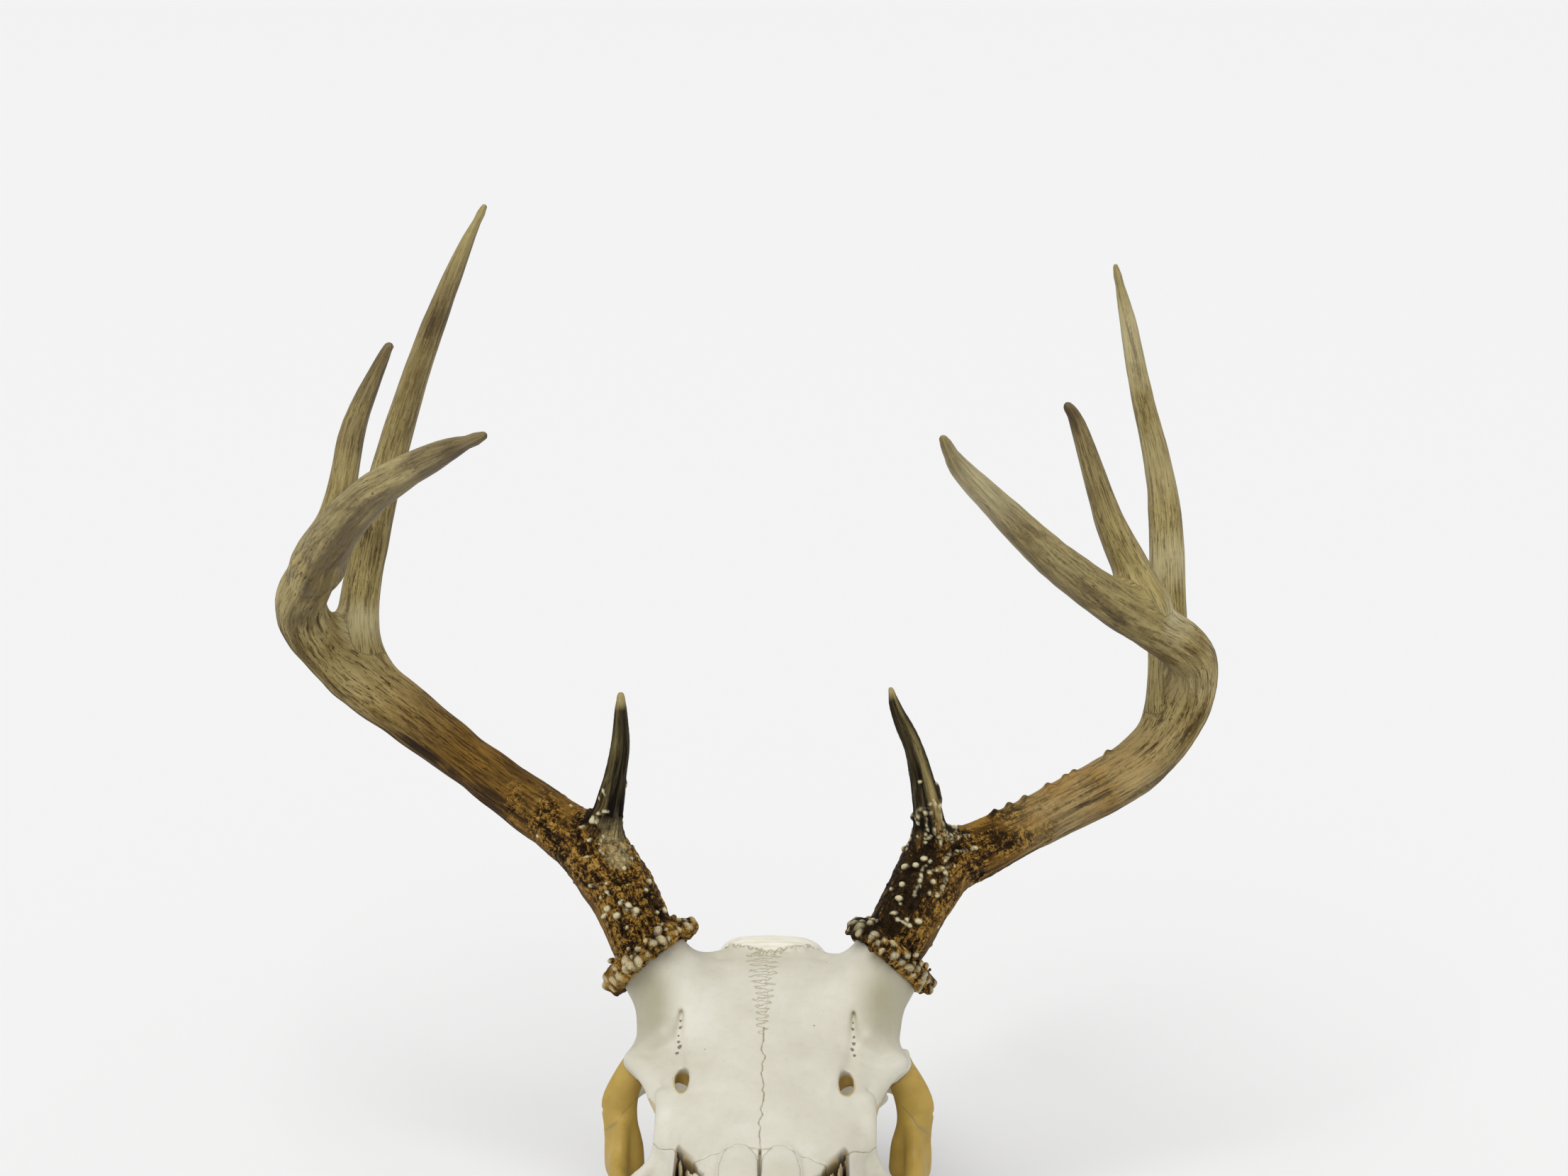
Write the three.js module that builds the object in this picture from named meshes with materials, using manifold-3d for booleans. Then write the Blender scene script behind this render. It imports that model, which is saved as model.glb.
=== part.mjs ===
// Skull of a white-tailed deer buck with both antlers, resting on its cheek teeth.
// Millimetres. It is modelled with X = 0 on its mid-plane and +X on the animal's left, Y as the distance
// back from the nose and Z as the height above the table. The last lines move it to its own origin.

import * as THREE from "three";
import { mergeVertices } from "three/addons/utils/BufferGeometryUtils.js";
import Module from "manifold-3d";

const wasm = await Module();
wasm.setup();

// ---- Driving dimensions -------------------------------------------------------------------------

const gap = 0.3; // between neighbouring bones
const originX = -10; // middle of the whole skull's box, seen from above
const originY = 170;

// Profiles along the skull: [distance back from the nose, value].
const roofLine = [
  [2, 20], [45, 64], [90, 76], [137, 88], [155, 93.5], [172, 99], [190, 105.5],
  [210, 112.5], [228, 117], [240, 119], [250, 117.5], [263, 110], [279, 92],
];
const apertureLine = [[-6, 17], [4, 20], [18, 27], [35, 38], [50, 51], [60, 62.6]];
const nasalWidth = [[44, 4], [52, 8.5], [100, 9.5], [122, 14], [132, 14], [140, 6]];

const muzzle = {
  from: 46, to: 166, rings: 7, sides: 10,
  half: [
    [34, 13.5], [60, 16], [75, 18], [88, 22], [100, 27], [122, 33], [140, 36], [156, 39], [168, 38],
  ],
  edge: [[34, 25], [60, 28], [90, 28], [120, 33], [140, 44], [168, 60]],
  bottom: [[34, 19], [60, 22], [85, 21], [100, 16], [145, 16], [168, 24]],
  square: [[34, 2.2], [110, 2.3], [135, 2.8], [160, 3.6]],
};
const nasalCavity = {
  from: -8, to: 114, rings: 4, sides: 8, wall: 3.2, roof: 4.5, floor: 6,
};
const browPlate = {
  from: 128, to: 233, rings: 9, sides: 10, thick: 14,
  half: [
    [128, 18], [140, 26], [150, 33], [160, 38.5], [168, 42], [180, 44], [190, 46], [200, 47.5],
    [214, 46.5], [224, 43], [233, 32],
  ],
  drop: [[128, 4], [150, 6], [165, 6], [182, 8], [198, 10], [210, 6], [233, 4]],
};
const braincase = {
  from: 188, to: 281, rings: 6, sides: 12,
  half: [
    [188, 14], [200, 24], [212, 32], [225, 35.5], [240, 37.5], [256, 37.5], [268, 38], [276, 36], [281, 31],
  ],
  edge: [[188, 76], [225, 76], [256, 72], [281, 62]],
  bottom: [[188, 50], [205, 44], [230, 38], [262, 34], [281, 33]],
  square: [[188, 2.4], [240, 2.2], [270, 2.6], [281, 2.6]],
};
const septum = {
  from: 148, to: 204, rings: 4, sides: 8,
  half: [[148, 30], [162, 22], [180, 17], [204, 22]],
  edge: [[148, 60], [204, 74]],
  bottom: [[148, 20], [165, 30], [185, 42], [204, 46]],
};
const orbit = { at: [47, 178, 74], radii: [32, 19.5, 19.5] };
const tearPit = { at: [46, 147, 66], radii: [8, 8, 10] };
const faceGap = { at: [26.5, 141, 85.5], radii: [4, 10, 9] }; // the opening in front of the orbit

// Bars: each point is [x, y, z, half across, half deep]; wide is the direction of the first half size.
const orbitRim = {
  wide: [1, -0.6, 0],
  points: [
    [34.5, 168, 92, 5, 4], [36, 161, 86, 4.5, 4], [36.5, 157.5, 77, 4, 4], [40, 157, 68, 4.5, 4],
    [46, 162, 58, 6, 5],
  ],
};
const cheekBar = {
  wide: [1, 0, 0],
  points: [
    [30, 126, 30, 6, 8], [38, 142, 40, 6, 10], [46, 158, 50, 5, 9], [52, 174, 51.5, 4, 6],
    [55.5, 194, 52.5, 3.6, 6.5], [56.5, 212, 56, 3.2, 5], [53.5, 228, 61.5, 3.4, 4.5], [40, 244, 67, 7, 5],
  ],
};
const orbitBar = {
  wide: [1, 0, 0],
  points: [
    [38, 201, 101, 6, 8], [45.3, 200, 92, 5.6, 6.5], [51, 198, 82.5, 6, 5.2], [53.6, 196.5, 74.5, 6, 4.4],
    [53.2, 196, 66, 5.4, 4.4], [52, 195, 57, 6, 5.6], [52, 194, 51, 6.4, 7],
  ],
};
const pedicle = {
  wide: [1, 0, 0],
  points: [
    [27, 212, 93, 16.5, 15.5], [34, 220, 105, 15, 14.5], [41, 226, 114, 14, 14], [49, 231, 125, 13.5, 13.5],
  ],
};
const neckCrest = {
  wide: [0, 1, 0],
  points: [
    [37, 262, 66, 4, 4], [32, 270, 82, 4, 4], [0, 278, 93, 4.5, 4.5], [-32, 270, 82, 4, 4],
    [-37, 262, 66, 4, 4],
  ],
};
const neckProcess = {
  wide: [1, 0.3, 0],
  points: [[28, 270, 46, 5, 8], [30, 271, 30, 4.5, 7.5], [29, 271, 14, 3.6, 6.5], [27, 270, -3, 3, 5]],
};
const basinBar = {
  wide: [1, 0, 0],
  points: [
    [0, 286, 38, 11, 5], [0, 262, 34, 12, 5.5], [0, 236, 33, 11, 5.5], [0, 210, 38, 8, 6],
    [0, 186, 42, 6, 6],
  ],
};
const palateWing = {
  wide: [0, 1, 0],
  points: [[12, 184, 52, 16, 2], [12.5, 186, 38, 14, 2], [13, 186, 27, 9, 2], [13.5, 187, 19, 4, 1.8]],
};
const premaxilla = {
  wide: [0, 0, 1],
  points: [
    [8, 3, 16.5, 2.5, 4], [11, 12, 19, 4.5, 3.2], [14.5, 28, 26, 8, 2.2], [16.5, 45, 35, 12, 2],
    [15.5, 62, 44, 15, 2], [13, 76, 55, 12, 2],
  ],
};
const muzzleFloor = {
  wide: [1, 0, 0],
  points: [[6.5, 3, 15.5, 5.5, 2.2], [5.2, 14, 17.5, 4, 2], [4, 34, 20, 3, 1.8], [4, 58, 24, 3, 2.5]],
};
const gumRidge = {
  wide: [1, 0, 0],
  points: [
    [19, 90, 19, 5, 4], [23.5, 108, 17, 7, 5], [27.5, 130, 17, 8.5, 6], [28.5, 150, 18, 9, 6],
    [26, 172, 24, 7, 7],
  ],
};
const bulla = { at: [21, 243, 28], radii: [9.5, 14, 13] };
const earTube = {
  wide: [0, 1, 0],
  points: [[22, 244, 38, 6, 6], [34, 249, 47, 5.5, 5.5], [40, 251, 51, 5, 5]],
};
const condyle = { at: [15.5, 282, 40], radii: [10, 9.5, 12.5] };
const spineHole = { radius: 10.5, z: 45, from: 268, depth: 32 };

const teeth = {
  first: 95, height: 24, edges: 2,
  lengths: [9.6, 10.6, 11, 14.5, 15.6, 15.6],
  widths: [8.6, 10.6, 12, 14, 15, 13.6],
  rowCentre: [[95, 21], [110, 24], [130, 27.5], [150, 28.6], [172, 27]],
};

// Antlers: each point is [x, y, z, radius], with x counted outwards from the mid-plane.
const burrWidth = 42;
const burrHeight = 8;
const burrLobes = 6;
const burrAxis = [0.63, 0.365, 0.685];
const antlers = {
  left: {
    side: 1,
    burr: [45.3, 230, 121],
    beam: [
      [45, 231, 121, 11.6], [52, 239, 132, 12.4], [58, 246, 141, 13], [66, 254, 146.5, 12],
      [79, 262, 149.5, 10.8], [106, 277, 158, 10], [138, 293, 171, 10.8], [154, 301, 187, 10.4],
      [160, 298, 208, 9.4], [153, 290, 223, 9.6], [127, 262, 247, 8.3], [101, 230, 275, 6.9],
      [80, 200, 303, 5.2], [66, 178, 323, 3.6], [60, 167, 336, 0.8],
    ],
    browTine: [
      [60, 252, 150, 7.6], [59, 249, 164, 6], [56, 251, 182, 4.4], [52, 253, 195, 3.4], [46, 256, 208, 2.4],
      [44, 258, 215, 0.8],
    ],
    secondTine: [
      [152, 302, 194, 8.4], [151, 314, 217, 7.7], [150, 325, 256, 6.6], [146, 330, 283, 5.2],
      [139, 333, 310, 4.2], [133, 336, 338, 3], [128, 338, 358, 0.8],
    ],
    thirdTine: [
      [139, 274, 245, 8], [126, 276, 271, 5.8], [121, 278, 284, 4.8], [112, 283, 310, 3], [108, 284, 317, 0.8],
    ],
  },
  right: {
    side: -1,
    burr: [45.6, 228, 120.5],
    beam: [
      [46, 229, 121, 11.6], [51.5, 236, 132, 12.4], [58.5, 243, 142, 12.6], [70, 252, 153, 12],
      [84, 260, 160, 10.6], [113, 277, 174, 9.8], [141, 291, 190, 10.6], [157, 297, 200, 11.4],
      [171, 300, 211, 10.4], [179, 295, 224, 10.2], [180, 287, 237, 9.8], [172, 271, 253, 9.2],
      [157, 241, 279, 8.3], [140, 216, 300, 7.1], [126, 198, 313, 6], [109, 179, 326, 4.4],
      [92, 162, 337, 0.8],
    ],
    browTine: [
      [66, 249, 153, 7.4], [61, 247, 167, 6], [58, 247, 182, 4.3], [56, 249, 195, 3.6], [56, 253, 208, 2.2],
      [56, 254, 213, 0.8],
    ],
    secondTine: [
      [161, 299, 206, 8.8], [162, 312, 229, 7.7], [157, 320, 255, 6.9], [150, 323, 282, 6.2],
      [141, 326, 310, 5.3], [131, 328, 337, 4.4], [119, 329, 365, 2.7], [111, 330, 381, 0.8],
    ],
    thirdTine: [
      [168, 265, 259, 7.4], [160, 269, 284, 5.6], [155, 278, 309, 4.6], [144, 285, 334, 2.2],
      [142, 286, 337, 0.8],
    ],
  },
};

// Where each antler is cut at its forks, as shares of the points of its beam or tine.
const antlerForks = {
  left: { brow: 0.31, second: 0.61, third: 0.76, secondTine: 0.15 },
  right: { brow: 0.28, second: 0.575, third: 0.74, secondTine: 0.13 },
};
const browTineCut = 0.24;
const thirdTineCut = 0.28;

// Sutures: the outline of each bone in side view, [y, z], and where it starts from the mid-plane.
const sutureLines = {
  premaxilla: { inner: 0, outline: [[-6, 5], [47, 5], [48, 30], [80, 58], [76, 66], [60, 80], [-6, 80]] },
  lacrimal: { inner: 22, outline: [[139, 58], [168, 62], [168, 84], [141, 88]] },
  zygomatic: {
    inner: 32,
    outline: [
      [140, 30], [216, 42], [224, 70], [206, 70], [205, 86], [188, 86], [187, 66], [164, 62], [144, 58],
    ],
  },
  temporal: { inner: 24, outline: [[206, 42], [262, 42], [262, 78], [212, 80]] },
  earBase: { inner: 10.5, outline: [[227, 8], [259, 8], [259, 43], [227, 43]] },
  occipital: {
    inner: 0,
    outline: [[234, -8], [310, -8], [310, 120], [268, 120], [264, 96], [262, 48], [234, 48]],
  },
  parietal: {
    inner: 0,
    outline: [
      [211, 66], [234, 66], [234, 47], [320, 47], [320, 130], [238, 130], [236, 112], [221, 96], [211, 80],
    ],
  },
  frontal: { inner: 0, outline: [[139, 66], [150, 60], [320, 40], [320, 160], [130, 160]] },
};
const nasalBone = { from: 44, to: 139, rings: 5, sides: 6, above: 12, below: 9 };
const sphenoidBody = { from: 112, wideFrom: 162, to: 234, bottom: 26, wideBottom: 12, top: 66 };
const sphenoidHalf = { front: 14, wide: 26 };
const farOut = 90; // past the widest bone
const nasalPlate = { half: 1.1, outline: [[62, 30], [118, 30], [118, 62], [96, 62]] };
const nasalScroll = {
  wide: [0, 0, 1],
  points: [[7, 76, 46, 3, 2.5], [9, 92, 49, 7, 3.6], [10, 118, 50, 7.5, 4]],
};

// ---- Small tools --------------------------------------------------------------------------------

// The value of a profile at a distance back, with a smooth run through its stations.
function at(profile, y) {
  const last = profile.length - 1;
  if (y <= profile[0][0]) return profile[0][1];
  if (y >= profile[last][0]) return profile[last][1];
  const i = profile.findIndex((station) => station[0] > y) - 1;
  const slope = (k) => {
    const a = profile[Math.max(k - 1, 0)];
    const b = profile[Math.min(k + 1, last)];
    return (b[1] - a[1]) / (b[0] - a[0]);
  };
  const span = profile[i + 1][0] - profile[i][0];
  const t = (y - profile[i][0]) / span;
  const startPull = (t * t * t - 2 * t * t + t) * span * slope(i);
  const endPull = (t * t * t - t * t) * span * slope(i + 1);
  return THREE.MathUtils.lerp(profile[i][1], profile[i + 1][1], t * t * (3 - 2 * t)) + startPull + endPull;
}

const signedPower = (value, power) => Math.sign(value) * Math.abs(value) ** power;

const vector = (list) => new THREE.Vector3(list[0], list[1], list[2]);

// Turns a closed geometry into a solid that can be joined and cut.
function solidOf(geometry) {
  const bare = new THREE.BufferGeometry().setAttribute("position", geometry.getAttribute("position"));
  if (geometry.index) bare.setIndex(geometry.index);
  const merged = mergeVertices(bare, 1e-4);
  const vertProperties = new Float32Array(merged.attributes.position.array);
  const triVerts = new Uint32Array(merged.index.array);
  const made = new wasm.Manifold(new wasm.Mesh({ numProp: 3, vertProperties, triVerts }));
  if (made.volume() > 0) return made;
  return new wasm.Manifold(new wasm.Mesh({ numProp: 3, vertProperties, triVerts: triVerts.reverse() }));
}

// Skins a stack of rings, each with the same number of points, and closes both ends.
function loft(rings) {
  const sides = rings[0].length;
  const points = rings.flat();
  const faces = [];
  for (let r = 0; r + 1 < rings.length; r++) {
    for (let s = 0; s < sides; s++) {
      const a = r * sides + s;
      const b = r * sides + ((s + 1) % sides);
      faces.push(a, b, b + sides, a, b + sides, a + sides);
    }
  }
  for (const [ring, turn] of [[0, 1], [rings.length - 1, 0]]) {
    const middle = points.length;
    points.push(rings[ring].reduce((sum, p) => sum.add(p), new THREE.Vector3()).divideScalar(sides));
    for (let s = 0; s < sides; s++) {
      const a = ring * sides + s;
      const b = ring * sides + ((s + 1) % sides);
      faces.push(middle, turn ? b : a, turn ? a : b);
    }
  }
  const geometry = new THREE.BufferGeometry().setFromPoints(points);
  geometry.setIndex(faces);
  return solidOf(geometry);
}

// How much larger a ring of flat sides is made, so that it holds the same area as the oval it stands for.
const fullness = (sides) => Math.sqrt((2 * Math.PI) / (sides * Math.sin((2 * Math.PI) / sides)));

// A stack of arched sections along Y. sectionAt gives half, top, edge, bottom and square at each y.
function vault({ from, to, rings, sides }, sectionAt) {
  const stack = [];
  const grow = fullness(sides);
  for (let r = 0; r < rings; r++) {
    const y = THREE.MathUtils.lerp(from, to, r / (rings - 1));
    const { half, top, edge, bottom, square = 2, drop = 0 } = sectionAt(y);
    const ring = [];
    for (let s = 0; s < sides; s++) {
      const angle = (2 * Math.PI * (s + 0.5)) / sides;
      const x = signedPower(Math.cos(angle), 2 / square) * grow ** (2 / square);
      const z = signedPower(Math.sin(angle), 2 / square) * grow ** (2 / square);
      ring.push(new THREE.Vector3(half * x, y, edge - drop * x * x + z * (z > 0 ? top - edge : edge - bottom)));
    }
    stack.push(ring);
  }
  return loft(stack);
}

// A bar of oval section through its points, on the given side of the skull.
function bar({ points, wide }, side = 1, sides = 5, steps = points.length) {
  const curve = new THREE.CatmullRomCurve3(points.map((p) => new THREE.Vector3(side * p[0], p[1], p[2])));
  const wideWay = new THREE.Vector3(side * wide[0], wide[1], wide[2]);
  const stack = [];
  const grow = fullness(sides);
  for (let r = 0; r < steps; r++) {
    const t = r / (steps - 1);
    const centre = curve.getPoint(t);
    const ahead = curve.getTangent(t);
    const deepWay = new THREE.Vector3().crossVectors(ahead, wideWay).normalize();
    const acrossWay = new THREE.Vector3().crossVectors(deepWay, ahead).normalize();
    const place = t * (points.length - 1);
    const i = Math.min(Math.floor(place), points.length - 2);
    const across = THREE.MathUtils.lerp(points[i][3], points[i + 1][3], place - i);
    const deep = THREE.MathUtils.lerp(points[i][4], points[i + 1][4], place - i);
    const ring = [];
    for (let s = 0; s < sides; s++) {
      const angle = (2 * Math.PI * (s + 0.5)) / sides;
      ring.push(centre.clone()
        .addScaledVector(acrossWay, grow * across * Math.cos(angle))
        .addScaledVector(deepWay, grow * deep * Math.sin(angle)));
    }
    stack.push(ring);
  }
  return loft(stack);
}

// A round rod through [x, y, z, radius] points, one ring for each point and one between.
function rod(points, side, sides) {
  return bar({ points: points.map(([x, y, z, r]) => [x, y, z, r, r]), wide: [0.2, -1, 0.35] }, side, sides);
}

function ball({ at: [x, y, z], radii }, side = 1, across = 10, down = 6) {
  const geometry = new THREE.SphereGeometry(1, across, down);
  geometry.scale(...radii).translate(side * x, y, z);
  return solidOf(geometry);
}

function box([x0, y0, z0], [x1, y1, z1]) {
  const geometry = new THREE.BoxGeometry(x1 - x0, y1 - y0, z1 - z0);
  return solidOf(geometry.translate((x0 + x1) / 2, (y0 + y1) / 2, (z0 + z1) / 2));
}

// A disc with its lower face at a point, facing along a direction.
function disc(point, direction, radius, height, sides = 12) {
  const geometry = new THREE.CylinderGeometry(radius, radius, height, sides).translate(0, height / 2, 0);
  const turn = new THREE.Quaternion().setFromUnitVectors(new THREE.Vector3(0, 1, 0), direction);
  return solidOf(geometry.applyQuaternion(turn).translate(point.x, point.y, point.z));
}

// Moves each edge of an outline outwards by grow; the outline runs anticlockwise.
function grownOutline(outline, grow) {
  const count = outline.length;
  const edges = outline.map((p, i) => {
    const along = new THREE.Vector2().subVectors(outline[(i + 1) % count], p).normalize();
    return { start: p.clone().add(new THREE.Vector2(along.y, -along.x).multiplyScalar(grow)), along };
  });
  return edges.map((edge, i) => {
    const before = edges[(i + count - 1) % count];
    const cross = before.along.cross(edge.along);
    const t = new THREE.Vector2().subVectors(edge.start, before.start).cross(edge.along) / cross;
    return before.start.clone().addScaledVector(before.along, t);
  });
}

// A block with the given outline in side view, [y, z] points, from x0 to x1 on both sides of the skull.
function sideBlock(outline, x0, x1, grow) {
  const points = outline.map(([y, z]) => new THREE.Vector2(y, z));
  const shape = new THREE.Shape(grownOutline(points, grow));
  const inner = x0 > 0 ? x0 - grow : -x1;
  const depth = x1 - inner;
  const turn = new THREE.Matrix4().makeBasis(vector([0, 1, 0]), vector([0, 0, 1]), vector([1, 0, 0]));
  const blockFrom = (x) => solidOf(
    new THREE.ExtrudeGeometry(shape, { depth, bevelEnabled: false }).applyMatrix4(turn).translate(x, 0, 0));
  return x0 > 0 ? blockFrom(inner).add(blockFrom(-x1)) : blockFrom(inner);
}

const joined = (solids) => solids.reduce((sum, solid) => sum.add(solid));
const bothSides = (make) => make(1).add(make(-1));
const largest = (solid) => solid.decompose().reduce((a, b) => (a.volume() > b.volume() ? a : b));

// ---- Cranium ------------------------------------------------------------------------------------

const roof = (y) => at(roofLine, y);

function muzzleSection(y) {
  return {
    half: at(muzzle.half, y), top: roof(y), edge: at(muzzle.edge, y), bottom: at(muzzle.bottom, y),
    square: at(muzzle.square, y),
  };
}

function makeMuzzle() {
  const { wall, roof: roofWall, floor } = nasalCavity;
  const shell = vault(muzzle, muzzleSection);
  const cavity = vault(nasalCavity, (y) => {
    const outer = muzzleSection(y);
    return {
      half: outer.half - wall, top: Math.max(outer.top - roofWall, outer.edge + 4), edge: outer.edge + 3,
      bottom: outer.bottom + floor, square: outer.square,
    };
  });
  const aperture = sideBlock([...apertureLine, [46, 59.5], [42, 140], [-6, 140]], 0, 60, 0);
  const walls = bothSides((side) => bar(premaxilla, side).add(bar(muzzleFloor, side)));
  return shell.subtract(cavity).subtract(aperture).add(walls);
}

function makeVaultOfSkull() {
  const brow = vault(browPlate, (y) => {
    const top = roof(y);
    return {
      half: at(browPlate.half, y), top, edge: top - browPlate.thick / 2, bottom: top - browPlate.thick,
      drop: at(browPlate.drop, y), square: 3,
    };
  });
  const brain = vault(braincase, (y) => ({
    half: at(braincase.half, y), top: roof(y) - 0.6, edge: at(braincase.edge, y),
    bottom: at(braincase.bottom, y), square: at(braincase.square, y),
  }));
  const wall = vault(septum, (y) => ({
    half: at(septum.half, y), top: roof(y) - 6, edge: at(septum.edge, y),
    bottom: at(septum.bottom, y), square: 3,
  }));
  return joined([brow, brain, wall, bothSides((side) => bar(pedicle, side, 7))]);
}

function makeBase() {
  const parts = [
    bar(basinBar),
    bar(neckCrest, 1, 5),
    bothSides((side) => bar(neckProcess, side, 5)),
    bothSides((side) => bar(palateWing, side)),
    bothSides((side) => ball(bulla, side, 7, 4)),
    bothSides((side) => ball(condyle, side, 7, 5)),
    bothSides((side) => bar(earTube, side)),
    bothSides((side) => bar(gumRidge, side)),
  ];
  return joined(parts);
}

// One cheek tooth: a two-lobed block from the worn face up into the gum.
function makeTooth(index, start, side) {
  const length = teeth.lengths[index];
  const width = teeth.widths[index];
  const middle = at(teeth.rowCentre, start + length / 2);
  const lobes = index < 3 ? 1 : 2;
  const steps = teeth.edges * lobes;
  const outer = [];
  const inner = [];
  for (let i = 0; i <= steps; i++) {
    const along = i / steps;
    const swell = Math.abs(Math.sin(Math.PI * lobes * along)) ** 0.5;
    const y = start + along * length;
    outer.push(new THREE.Vector2(side * (middle + width * (0.3 + 0.2 * swell)), y));
    inner.unshift(new THREE.Vector2(side * (middle - width * (0.22 + 0.28 * swell)), y));
  }
  const shape = new THREE.Shape([...outer, ...inner]);
  return solidOf(new THREE.ExtrudeGeometry(shape, { depth: teeth.height, bevelEnabled: false }));
}

function makeTeeth(side) {
  const row = [];
  let start = teeth.first;
  for (let index = 0; index < teeth.lengths.length; index++) {
    row.push(makeTooth(index, start, side));
    start += teeth.lengths[index];
  }
  return joined(row);
}

function makeCranium() {
  const body = joined([
    makeMuzzle(),
    makeVaultOfSkull(),
    makeBase(),
    bothSides((side) => bar(orbitRim, side)),
  ]);
  const hollowed = joined([
    bothSides((side) => ball(orbit, side, 10, 6)),
    bothSides((side) => ball(tearPit, side, 6, 4)),
    bothSides((side) => ball(faceGap, side, 6, 4)),
  ]);
  const bars = bothSides((side) => bar(cheekBar, side).add(bar(orbitBar, side)));
  const { from, z, radius, depth } = spineHole;
  const spine = disc(vector([0, from, z]), vector([0, 1, 0]), radius, depth, 8);
  const belowTable = box([-farOut, -20, -20], [farOut, 320, 0]);
  return body.subtract(hollowed).add(bars).add(bothSides(makeTeeth)).subtract(spine).subtract(belowTable);
}

// ---- Parting the cranium along its sutures --------------------------------------------------------

const boneBlock = (name, grow) => sideBlock(sutureLines[name].outline, sutureLines[name].inner, farOut, grow);

function nasalBlock(grow) {
  const { from, to, rings, sides, above, below } = nasalBone;
  return vault({ from: from - grow, to: to + grow, rings, sides }, (y) => ({
    half: at(nasalWidth, y) + grow, top: roof(y) + above, edge: roof(y),
    bottom: roof(y) - below - grow, square: 5,
  }));
}

function sphenoidBlock(grow) {
  const { from, wideFrom, to, bottom, wideBottom, top } = sphenoidBody;
  const { front, wide } = sphenoidHalf;
  const frontPart = box([-front - grow, from - grow, bottom - grow], [front + grow, to, top + grow]);
  return frontPart.add(box([-wide - grow, wideFrom - grow, wideBottom], [wide + grow, to, top + grow]));
}

// Each bone is taken from what the bones before it leave, so the order matters.
const sutures = {
  nasal: nasalBlock,
  premaxilla: (grow) => boneBlock("premaxilla", grow),
  lacrimal: (grow) => boneBlock("lacrimal", grow),
  zygomatic: (grow) => boneBlock("zygomatic", grow),
  temporal: (grow) => boneBlock("temporal", grow).add(boneBlock("earBase", grow)),
  occipital: (grow) => boneBlock("occipital", grow),
  sphenoid: sphenoidBlock,
  parietal: (grow) => boneBlock("parietal", grow),
  frontal: (grow) => boneBlock("frontal", grow),
};

// One side of the skull, kept half a gap off the mid-plane.
function oneSide(side) {
  const inner = (side * gap) / 2;
  const outer = side * farOut;
  return box([Math.min(inner, outer), -20, -20], [Math.max(inner, outer), 340, 200]);
}

function partCranium(cranium) {
  const bones = {};
  let rest = cranium;
  for (const [name, blockOf] of Object.entries(sutures)) {
    bones[name] = rest.intersect(blockOf(0));
    rest = rest.subtract(blockOf(gap));
  }
  bones.maxilla = rest;
  return bones;
}

// The scrolls and the middle plate that show inside the nasal opening.
function makeNasalScrolls() {
  const plate = sideBlock(nasalPlate.outline, 0, nasalPlate.half, 0);
  return plate.add(bothSides((side) => bar(nasalScroll, side)));
}

// ---- Antlers ------------------------------------------------------------------------------------

function burrFrame({ side, burr }) {
  return {
    centre: new THREE.Vector3(side * burr[0], burr[1], burr[2]),
    axis: new THREE.Vector3(side * burrAxis[0], burrAxis[1], burrAxis[2]).normalize(),
  };
}

// The knobbly ring at the foot of an antler.
function makeBurr(antler) {
  const { centre, axis } = burrFrame(antler);
  const across = new THREE.Vector3().crossVectors(axis, vector([0, 1, 0])).normalize();
  const deep = new THREE.Vector3().crossVectors(axis, across);
  const levels = [[-0.5, 0.8], [0, 1], [0.5, 0.7]]; // [height, share of the width]
  const sides = 2 * burrLobes;
  return loft(levels.map(([height, share]) => Array.from({ length: sides }, (_, s) => {
    const angle = (2 * Math.PI * s) / sides;
    const radius = (burrWidth / 2) * share * (s % 2 ? 0.93 : 1.03);
    return centre.clone()
      .addScaledVector(axis, height * burrHeight)
      .addScaledVector(across, radius * Math.cos(angle))
      .addScaledVector(deep, radius * Math.sin(angle));
  })));
}

// A thin cut across a rod at a share of its points.
function cutAcross(points, side, share, reach) {
  const curve = new THREE.CatmullRomCurve3(points.map((p) => new THREE.Vector3(side * p[0], p[1], p[2])));
  return disc(curve.getPoint(share), curve.getTangent(share).normalize(), reach, gap);
}

function underBurr(antler, from, height) {
  const { centre, axis } = burrFrame(antler);
  return disc(centre.clone().addScaledVector(axis, from), axis, 30, height, 16);
}

// The place on a rod, at a share of its points, that names the piece around it.
function placeOn(points, side, share) {
  const curve = new THREE.CatmullRomCurve3(points.map((p) => new THREE.Vector3(side * p[0], p[1], p[2])));
  return curve.getPoint(share);
}

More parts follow.
